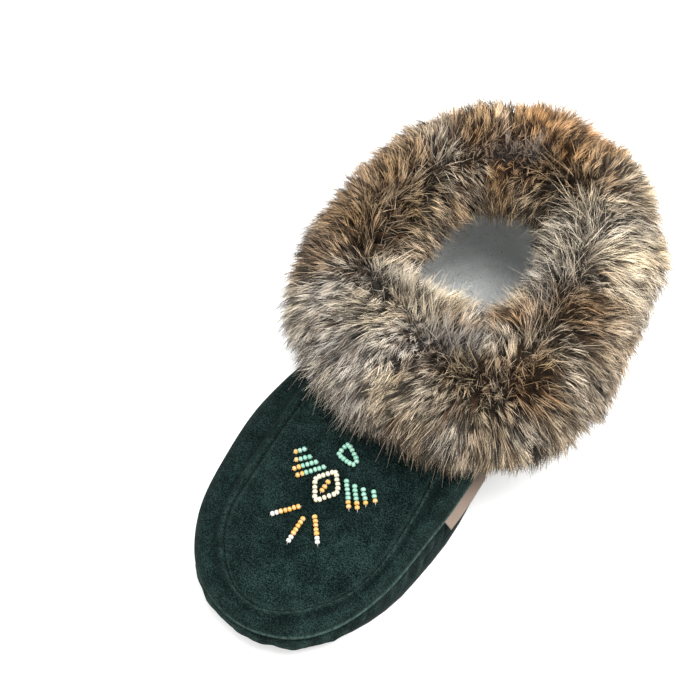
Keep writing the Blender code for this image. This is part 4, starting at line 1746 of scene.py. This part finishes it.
PARTING_ROWS = (
    # turn, side where the fur parts
    (0, 108), (12, 98), (23, 84), (38, 68), (52, 80), (66, 104),
    (90, 110), (120, 113), (150, 118), (180, 121), (210, 121), (240, 112),
    (270, 106), (298, 110), (315, 122), (330, 134), (346, 128),
)
CUFF_ROWS = (
    # degrees from the front, middle x, y, z, half width, half height
    (0, 8.0, -92.0, 66.0, 31.0, 18.5), (34, 36.0, -89.0, 62.0, 30.0, 20.0),
    (60, 52.0, -69.0, 61.0, 26.0, 24.0), (90, 55.0, -38.0, 63.0, 22.0, 26.5),
    (118, 52.0, -6.0, 67.0, 22.0, 26.0), (150, 34.0, 23.0, 72.0, 23.0, 24.0),
    (180, 5.0, 34.0, 74.0, 24.0, 22.0), (212, -24.0, 21.0, 72.0, 22.0, 24.0),
    (242, -40.0, -8.0, 68.0, 20.0, 26.0), (270, -43.0, -38.0, 65.0, 20.0, 26.0),
    (298, -39.0, -66.0, 63.0, 21.5, 23.0), (328, -20.0, -86.0, 64.0, 25.0, 19.5),
)


@dataclass
class FurRoll:
    """The roll that the fur covers, by turn round the collar and side round the roll."""

    ease: float = 14.0

    def __post_init__(self) -> None:
        """Makes the curves of its middle line and its size."""
        self.columns = curves(lapped(CUFF_ROWS))

    def point(self, turn: Any, side: Any, grow: float = 0.0) -> Array:
        """Points of the roll.

        Args:
            turn: Degrees round the collar.
            side: Degrees round the roll.
            grow: How much fatter the roll is.

        Returns:
            The points.
        """
        x, y, z, half_width, half_height = (column(turn % 360) for column in self.columns)
        ahead, behind = (turn + self.ease) % 360, (turn - self.ease) % 360
        along_x, along_y = (column(ahead) - column(behind) for column in self.columns[:2])
        size = np.hypot(along_x, along_y)
        run = (half_width + grow) * np.cos(np.radians(side))
        rise = (half_height + grow) * np.sin(np.radians(side))
        return np.stack([x + along_y / size * run, y - along_x / size * run, z + rise], -1)


@dataclass
class Coats:
    """The pelt's colours, patch by patch."""

    roll: FurRoll
    ragged: float = 2.6
    parting_share: float = 0.35

    def mixed(self, places: Array) -> list[Array]:
        """The coats' colours at places on the roll, mixed by how near each patch is.

        Args:
            places: The places.

        Returns:
            The colours there at the root, in the light band and at the tip.
        """
        edge = np.stack([Ripples(60 + i, 9)(places) for i in range(3)], 1) * self.ragged
        total = np.full(len(places), 1e-6)
        sums = [np.zeros((len(places), 3)) for _ in range(3)]
        for coat, patches in FUR_ZONES.items():
            for turn, side, reach in patches:
                away = np.linalg.norm(places + edge - self.roll.point(turn, side), axis=1) / reach
                weight = np.exp(-2.2 * away**2) + 1e-5 / (1 + away**4)
                total += weight
                for part, colour in zip(sums, coat.value):
                    part += weight[:, None] * np.array(colour)
        return [part / total[:, None] for part in sums]

    def colour(self, skin: Object, places: Array, off: Array) -> None:
        """Stores the colours on the skin's points.

        Args:
            skin: The skin.
            places: Its points.
            off: How many degrees of side each is from where the fur parts.
        """
        base, band, tip = self.mixed(places)
        mottle, warmth = Ripples(71, 15)(places)[:, None], Ripples(72, 22)(places)[:, None]
        band = band * (1 + 0.20 * mottle) * (1 + (warmth + 0.5) * np.array((0.03, 0.0, -0.07)))
        parted = self.parting_share * hump(off, 0, 6)[:, None]
        band = band * (1 - parted) + np.array(Coat.SLATE.value[1]) * parted
        store(skin, coat_base=base, coat_band=band, coat_tip=tip, ground=base * 0.65)


@dataclass(frozen=True)
class Pelt:
    """Hair and the skin under it."""

    hair_shade: Triple = (0.02, 0.014, 0.009)
    wool_shade: Triple = (0.014, 0.010, 0.007)

    def hair(self, name: str) -> Material:
        """The hairs' material; their mesh has the attribute hair_colour.

        Args:
            name: Its name.

        Returns:
            The material.
        """
        finish = Finish(name, Roughness=0.55, Specular_IOR_Level=0.2)
        shade = finish.span(finish.noise(1.5, 2), 0.3, 0.7) * 0.12
        return finish.done(finish.blend(shade, finish.attribute("hair_colour", "Color"), self.hair_shade))

    def skin(self, name: str) -> Material:
        """The woolly ground's material; its mesh has the attribute ground.

        Args:
            name: Its name.

        Returns:
            The material.
        """
        finish = Finish(name, Roughness=0.95, Specular_IOR_Level=0.1)
        wool = finish.noise(0.9, 3, 0.7)
        ground = finish.attribute("ground", "Color")
        colour = finish.blend(finish.span(wool, 0.3, 0.7) * 0.45, ground, self.wool_shade)
        return finish.done(colour, wool, 0.8)


@dataclass
class FurCuff:
    """The deep fur roll: a woolly skin on the shoe, and hairs in tufts that part along its top."""

    form: MoccasinForm
    roll: FurRoll
    around: int = 220
    sides: int = 60
    guide_around: int = 160
    guide_columns: int = 16
    hair_length: float = 10.6
    hair_width: float = 0.19
    hairs_per_part: int = 28400
    clump_area: float = 6.5
    clearance: float = 0.3
    hair_clearance: float = 0.15
    skin_wave: float = 1.3
    skin_rise: float = 1.4
    bare_below: float = 0.8
    part_reach: float = 45.01
    wander: float = 3.0
    spread_below: float = 0.6
    root_depth: float = 0.8
    droop: float = 1.1
    map_cells: float = 180.0
    tawny: Triple = srgb(176, 126, 80)

    def last(self) -> Object:
        """The shoe's own surface under the roll, grown by the clearance; it only guides.

        Returns:
            The surface.
        """
        form, count, columns = self.form, self.guide_around, self.guide_columns
        angle = full_circle(count)
        out = form.lid.outward(angle) * self.clearance
        rows = [form.lower_wall(angle, share) for share in np.linspace(0.3, 0.93, 6)]
        for row in rows:
            row[:, :2] += out
        for share in np.linspace(0.0, 1.0, 14):
            row = form.band(angle, share) + upright(self.clearance * (0.3 + 0.7 * share))
            row[:, :2] += out * (1 - share)
            rows.append(row)
        faces = list(grid_faces(len(rows), count, wrap_columns=True))
        ring, first, half = (len(rows) - 1) * count, len(rows) * count, count // 2
        steps = np.repeat(angle[1:half], columns - 1)
        places = np.tile(2 * np.arange(1, columns) / columns - 1, half - 1)
        inner = first + np.arange(len(places)).reshape(half - 1, columns - 1)
        lines = [[ring + count - i - 1, *row, ring + i + 1] for i, row in enumerate(inner)]
        lines = [[ring] * (columns + 1), *lines, [ring + half] * (columns + 1)]
        for near, far in zip(lines, lines[1:]):
            for k in range(columns):
                faces.append(list(dict.fromkeys((near[k], near[k + 1], far[k + 1], far[k]))))
        points = np.concatenate([*rows, form.top(steps, places, 0.5, self.clearance)])
        return build_object("last_guide", points, faces)

    def settled(self, points: Array) -> tuple[Array, Array]:
        """The roll's points, none of them inside the shoe.

        Args:
            points: The points.

        Returns:
            The points, moved out where they were inside, and 1 for each that lies on the shoe.
        """
        guide = self.last()
        tree = BVHTree.FromObject(guide, bpy.context.evaluated_depsgraph_get())
        settled, covered = points.copy(), np.zeros(len(points))
        for i, point in enumerate(points * MM):
            near, facing, _, _ = tree.find_nearest(Vector(point))
            height = (Vector(point) - near).dot(facing) / MM
            covered[i] = height < self.bare_below
            if height < 0:
                settled[i] = np.array(near) / MM
        bpy.data.objects.remove(guide)
        return settled, covered

    def skin(self) -> Object:
        """The skin with everything that the hairs need, on its points.

        Returns:
            The skin.
        """
        turn = np.repeat(np.arange(self.around) * 360 / self.around, self.sides)
        side = np.tile(np.arange(self.sides) * 360 / self.sides, self.around)
        raw = self.roll.point(turn, side)
        normal = unit(self.roll.point(turn, side, 4.0) - raw)
        raw = raw + normal * (Ripples(31, 26)(raw) * self.skin_wave + self.skin_rise)[:, None]
        points, covered = self.settled(raw)
        obj = build_object("fur_skin", points, grid_faces(self.around, self.sides, True, True))
        up_side = (self.roll.point(turn, side + 3) - self.roll.point(turn, side - 3)) / 6
        along = (self.roll.point(turn + 3, side) - self.roll.point(turn - 3, side)) / 6
        (parting,) = curves(lapped(PARTING_ROWS))
        off = signed(side - parting(turn) - Ripples(41, 60)(raw) * self.wander)
        slope = (parting((turn + 4) % 360) - parting((turn - 4) % 360)) / 8 * np.exp(-np.abs(off) / 45)
        side_step, turn_step = (np.linalg.norm(way, axis=1)[:, None] for way in (up_side, along))
        rising = up_side / side_step**2 - along / turn_step**2 * slope[:, None]
        flow = unit(rising) * np.where(off < 0, -1.0, 1.0)[:, None]
        under = fade(-signed(side), 5, 70) * (off < 0)
        spread = self.spread_below * under[:, None]
        flow = flow * (1 - spread) + unit(normal * (1, 1, 0) + 1e-6) * spread
        flow = flow + along / turn_step * (Ripples(42, 26)(raw) * 0.45)[:, None]
        lay = fade(np.abs(off), 3, 40)
        length = self.hair_length * (0.94 + 0.12 * Ripples(43, 22)(raw)) * (0.84 + 0.16 * lay)
        length *= (1 - 0.22 * fade(off, 30, 90)) * (1 - 0.42 * under)
        store(obj, stand=normal, flow=unit(flow), lay=lay, hair_length=length * MM, bare=covered, turn=turn)
        Coats(self.roll).colour(obj, raw, off)
        return obj

    def pattern(self) -> Pattern:
        """The tree that grows hairs on the part of the skin given by the attribute share.

        Returns:
            The tree.
        """
        tree = Pattern("hair", Density="Float", Clumps="Float", Width="Float", Last="Object")
        roots = tree.sown(tree.number("share") * tree.given["Density"], 3)
        centres = tree.out(tree.sown(tree.given["Clumps"], 19), "Points")
        place = tree.get("GeometryNodeInputPosition")
        nearest = tree.get("GeometryNodeSampleNearest", {"domain": "POINT"}, Geometry=centres)
        sample = {"data_type": "FLOAT_VECTOR", "domain": "POINT"}
        middle, lean = (
            tree.get("GeometryNodeSampleIndex", sample, Geometry=centres, Value=value, Index=nearest)
            for value in (place, tree.scatter(1.0, 23))
        )
        vectors = {"root": place, "clump": middle - place, "lean": lean}
        vectors |= {"stray": tree.scatter(1.0, 29), "tilt": tree.scatter(1.0, 31)}
        numbers = {"draw": 37, "second_draw": 39, "third_draw": 43}
        numbers = {name: tree.random(0.0, 1.0, seed) for name, seed in numbers.items()}
        hair = tree.keep(tree.out(roots, "Points"), "FLOAT_VECTOR", **vectors)
        hair = tree.keep(hair, number=tree.get("GeometryNodeInputIndex"), **numbers)
        grid = {"Size_X": 1.0, "Size_Y": 1.0, "Vertices_X": 2, "Vertices_Y": 4}
        blade = tree.get("GeometryNodeMeshGrid", None, "Mesh", **grid)
        beside, along, _ = tree.parts(place)
        blade = tree.keep(blade, along=along + 0.5, beside=beside * 2.0)
        solid = tree.copies(Points=hair, Instance=blade)
        return tree.close(self.coloured(tree, self.cleared(tree, self.shaped(tree, solid))))

    def guard(self, tree: Pattern) -> Wire:
        """Whether a hair is one of the long loose ones, which are commoner where the fur parts."""
        return tree.span(tree.number("draw") - (tree.number("lay") * 0.12 + 0.79), 0.0, 0.03)

    def shaped(self, tree: Pattern, solid: Wire) -> Wire:
        """Bends every blade from its root along the fur's flow and draws it into its tuft.

        Args:
            tree: The tree.
            solid: The blades.

        Returns:
            The blades in place.
        """
        t, lay, guard = tree.number("along"), tree.number("lay"), self.guard(tree)
        normal, flow = tree.vector("stand"), tree.vector("flow")
        reach = tree.number("hair_length") * (tree.number("second_draw") * 0.45 + 0.72 + guard * 0.08)
        rise = t * (1.0 - lay * 0.20) - t * t * lay * (0.26 - guard * 0.40)
        along = lay * (t * 0.20 + t * t * (0.52 - guard * 0.22))
        bend = t * (t + (1.0 - t) * (guard * (1.0 - lay)))
        loose = bend * (0.19 + guard * (0.46 - lay * 0.36))
        lean = tree.vector("lean") * (bend * (0.44 - lay * 0.20))
        curl = normal * rise + flow * along + tree.vector("stray") * loose + lean
        drawn = tree.vector("clump") * (t**1.1 * (0.74 - guard * 0.7))
        middle = tree.vector("root") - normal * (self.root_depth * MM) + curl * reach + drawn
        drop = tree.get("ShaderNodeCombineXYZ", Z=t * t * (-self.droop * MM))
        across = tree.math("CROSS_PRODUCT", flow, normal) + tree.vector("tilt") * 0.75
        half = tree.given["Width"] * (1.0 - t**1.6 * 0.78) * (0.88 - guard * lay * 0.36)
        place = middle + drop + tree.math("NORMALIZE", across) * (half * tree.number("beside"))
        return tree.get("GeometryNodeSetPosition", Geometry=solid, Position=place)

    def cleared(self, tree: Pattern, solid: Wire) -> Wire:
        """Lifts what would dip into the shoe onto its surface.

        Args:
            tree: The tree.
            solid: The hairs.

        Returns:
            The hairs, all outside the shoe.
        """
        surface = tree.get("GeometryNodeObjectInfo", None, "Geometry", Object=tree.given["Last"])
        place, kind = tree.get("GeometryNodeInputPosition"), {"data_type": "FLOAT_VECTOR"}
        near, facing = (
            tree.get("GeometryNodeSampleNearestSurface", kind, "Value", Mesh=surface, Value=value)
            for value in (place, tree.get("GeometryNodeInputNormal"))
        )
        height = tree.math("DOT_PRODUCT", place - near, facing)
        lift = tree.math("MAXIMUM", self.hair_clearance * MM - height, 0.0)
        return tree.get("GeometryNodeSetPosition", Geometry=solid, Offset=facing * lift)

    def coloured(self, tree: Pattern, solid: Wire) -> Wire:
        """Stores each hair's bands of colour, and a place of its own on the flat map.

        Args:
            tree: The tree.
            solid: The hairs.

        Returns:
            The hairs with both.
        """
        t, lay, guard = tree.number("along"), tree.number("lay"), self.guard(tree)
        base, lean, grey = tree.vector("coat_base"), tree.vector("lean"), (0.33, 0.33, 0.33)
        banded = tree.span(t + tree.number("draw") * 0.2, 0.38, 0.80)
        banded = tree.math("MAXIMUM", banded, guard * (0.9 - lay * 0.5))
        dark_end = tree.span(tree.number("second_draw"), 0.60, 0.70) * tree.span(t, 0.50, 0.85)
        colour = tree.blend(banded, base, tree.vector("coat_band"))
        colour = tree.blend(dark_end * (1.0 - guard * 0.5), colour, tree.vector("coat_tip"))
        patch = tree.math("DOT_PRODUCT", lean, grey)
        paleness = tree.math("DOT_PRODUCT", base, grey) ** 0.5 * 1.6 - 0.34
        light = tree.span(tree.number("third_draw") * 0.7 + 0.15 + patch * 0.95 + paleness, 0.40, 0.60)
        light = tree.math("MAXIMUM", light, guard * (1.05 - lay * 0.25))
        colour = tree.blend(light, colour * 0.07 + base * 0.4, colour)
        tawny = tree.span(tree.math("DOT_PRODUCT", lean, (1.0, -1.0, 0.0)), 0.6, 1.1) * 0.2
        colour = tree.blend(tawny * (1.0 - banded * 0.5), colour, self.tawny)
        solid = tree.keep(solid, "FLOAT_COLOR", hair_colour=colour * (1.03 + patch * 0.6))
        number, cells = tree.number("number"), self.map_cells
        column = tree.math("MODULO", number, cells) + 0.5 + tree.number("beside") * 0.36
        row = tree.math("FLOOR", number / cells) + 0.08 + t * 0.84
        flat = tree.get("ShaderNodeCombineXYZ", X=column / cells, Y=row / cells)
        return tree.keep(solid, "FLOAT2", "CORNER", OFBake=flat)

    def dress(self, pelt: Pelt) -> list[Object]:
        """Builds the skin and its hairs in four parts.

        Args:
            pelt: The finishes.

        Returns:
            The pieces.
        """
        skin, guide, tree = self.skin(), self.last(), self.pattern()
        marks = skin.data.attributes
        turn, bare = (np.array([value.value for value in marks[name].data]) for name in ("turn", "bare"))
        size = {"Clumps": 1 / (self.clump_area * MM * MM), "Width": self.hair_width * MM, "Last": guide}
        size["Material"] = pelt.hair("fur hair")
        pieces = []
        for i, name in enumerate(("front", "outer", "back", "inner")):
            share = (1 - bare) * (np.abs(signed(turn - i * 90)) <= self.part_reach)
            store(skin, share=share)
            density = self.hairs_per_part / mean_area(skin, share)
            hair = tree.run(skin, "fur_hair_" + name, ("hair_colour", "OFBake"), Density=density, **size)
            marks.remove(marks["share"])
            pieces.append(dressed(hair, None, "fur"))
        forget(skin.data, "ground")
        bpy.data.objects.remove(guide)
        return [*pieces, dressed(skin, pelt.skin("fur ground"), "fur", "fur_cuff")]


# ------------------------------------------------------------------ studio
@dataclass
class Studio:
    """Plain pale floor, soft light from large panels, and the camera."""

    azimuth: float = 28.88
    elevation: float = 49.33
    roll: float = 1.79
    camera_place: Triple = (183.37, -469.61, 556.14)
    lens: float = 78.215
    sensor: float = 36.0
    floor_size: float = 30.0
    lit_place: Triple = (0.0, -0.08, 0.04)

    def build(self) -> None:
        """Builds the floor, the lights and the camera."""
        self.floor()
        self.lights()
        self.camera()

    def floor(self) -> None:
        """A wide pale floor, level with the sole's flat spots."""
        half = self.floor_size / MM / 2
        corners = [(-half, -half, 0), (half, -half, 0), (half, half, 0), (-half, half, 0)]
        floor = build_object("floor", corners, [(0, 1, 2, 3)], False)
        look = {"Roughness": 0.9, "Specular_IOR_Level": 0.1, "Emission_Strength": 0.45}
        finish = Finish("pale floor", Emission_Color=(1.0, 1.0, 1.0), **look)
        floor.data.materials.append(finish.done((0.7, 0.7, 0.69)))

    def lights(self) -> None:
        """One broad panel high on the outer side, a weaker one opposite, and an even sky."""
        panels = (
            ("key", (0.75, 0.05, 1.15), 0.7, 11.0),
            ("fill", (-0.8, -0.7, 0.9), 1.2, 3.0),
            ("rim", (-0.1, 0.95, 0.8), 1.0, 5.0),
            ("above", (0.30, -0.42, 1.3), 0.5, 11.0),
        )
        for name, place, size, power in panels:
            light = bpy.data.lights.new(name, "AREA")
            light.energy, light.size = power, size
            lamp, sight = add_object(name, light), Vector(self.lit_place) - Vector(place)
            lamp.location, lamp.rotation_euler = place, sight.to_track_quat("-Z", "Y").to_euler()
        world = bpy.data.worlds.new("sky")
        world.use_nodes = True
        sky = world.node_tree.nodes["Background"]
        sky.inputs["Color"].default_value = (1.0, 1.0, 1.0, 1.0)
        sky.inputs["Strength"].default_value = 1.0
        bpy.context.scene.world = world

    def camera(self) -> None:
        """The camera, turned a little about its own line of sight."""
        turn, lift, roll = (math.radians(v) for v in (self.azimuth, self.elevation, self.roll))
        back = Vector((math.sin(turn) * math.cos(lift), -math.cos(turn) * math.cos(lift), math.sin(lift)))
        level = Vector((math.cos(turn), math.sin(turn), 0))
        above = back.cross(level)
        right = level * math.cos(roll) + above * math.sin(roll)
        up = above * math.cos(roll) - level * math.sin(roll)
        lens = bpy.data.cameras.new("camera")
        lens.lens, lens.sensor_width, lens.clip_start, lens.clip_end = self.lens, self.sensor, 0.05, 20
        camera = add_object("camera", lens)
        rows = [[right[i], up[i], back[i], self.camera_place[i] * MM] for i in range(3)]
        camera.matrix_world = Matrix([*rows, [0, 0, 0, 1]])
        bpy.context.scene.camera = camera


def main() -> None:
    """Builds the shoe's classes in order, then the studio."""
    logging.basicConfig(level=logging.INFO, format="%(message)s")
    low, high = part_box("upper")
    form = MoccasinForm(toe_tip=low[1] / MM + 0.1, heel_back=high[1] / MM - 0.1)
    suede, motif = Suede(), Motif(form)
    Outsole().dress(Rubber())
    SuedeUpper(form).dress(suede)
    VampPlug(form, motif).dress(suede)
    SeamStitches(form).dress(Thread(srgb(24, 40, 38)))
    Beadwork(motif).dress(Glass(), Thread())
    SideTab(form).dress(WovenCloth())
    FleeceLining(form).dress(Fleece())
    FurCuff(form, FurRoll()).dress(Pelt())
    Studio().build()
    scene = bpy.context.scene
    scene.view_settings.view_transform = "Standard"


if __name__ == "__main__":
    main()
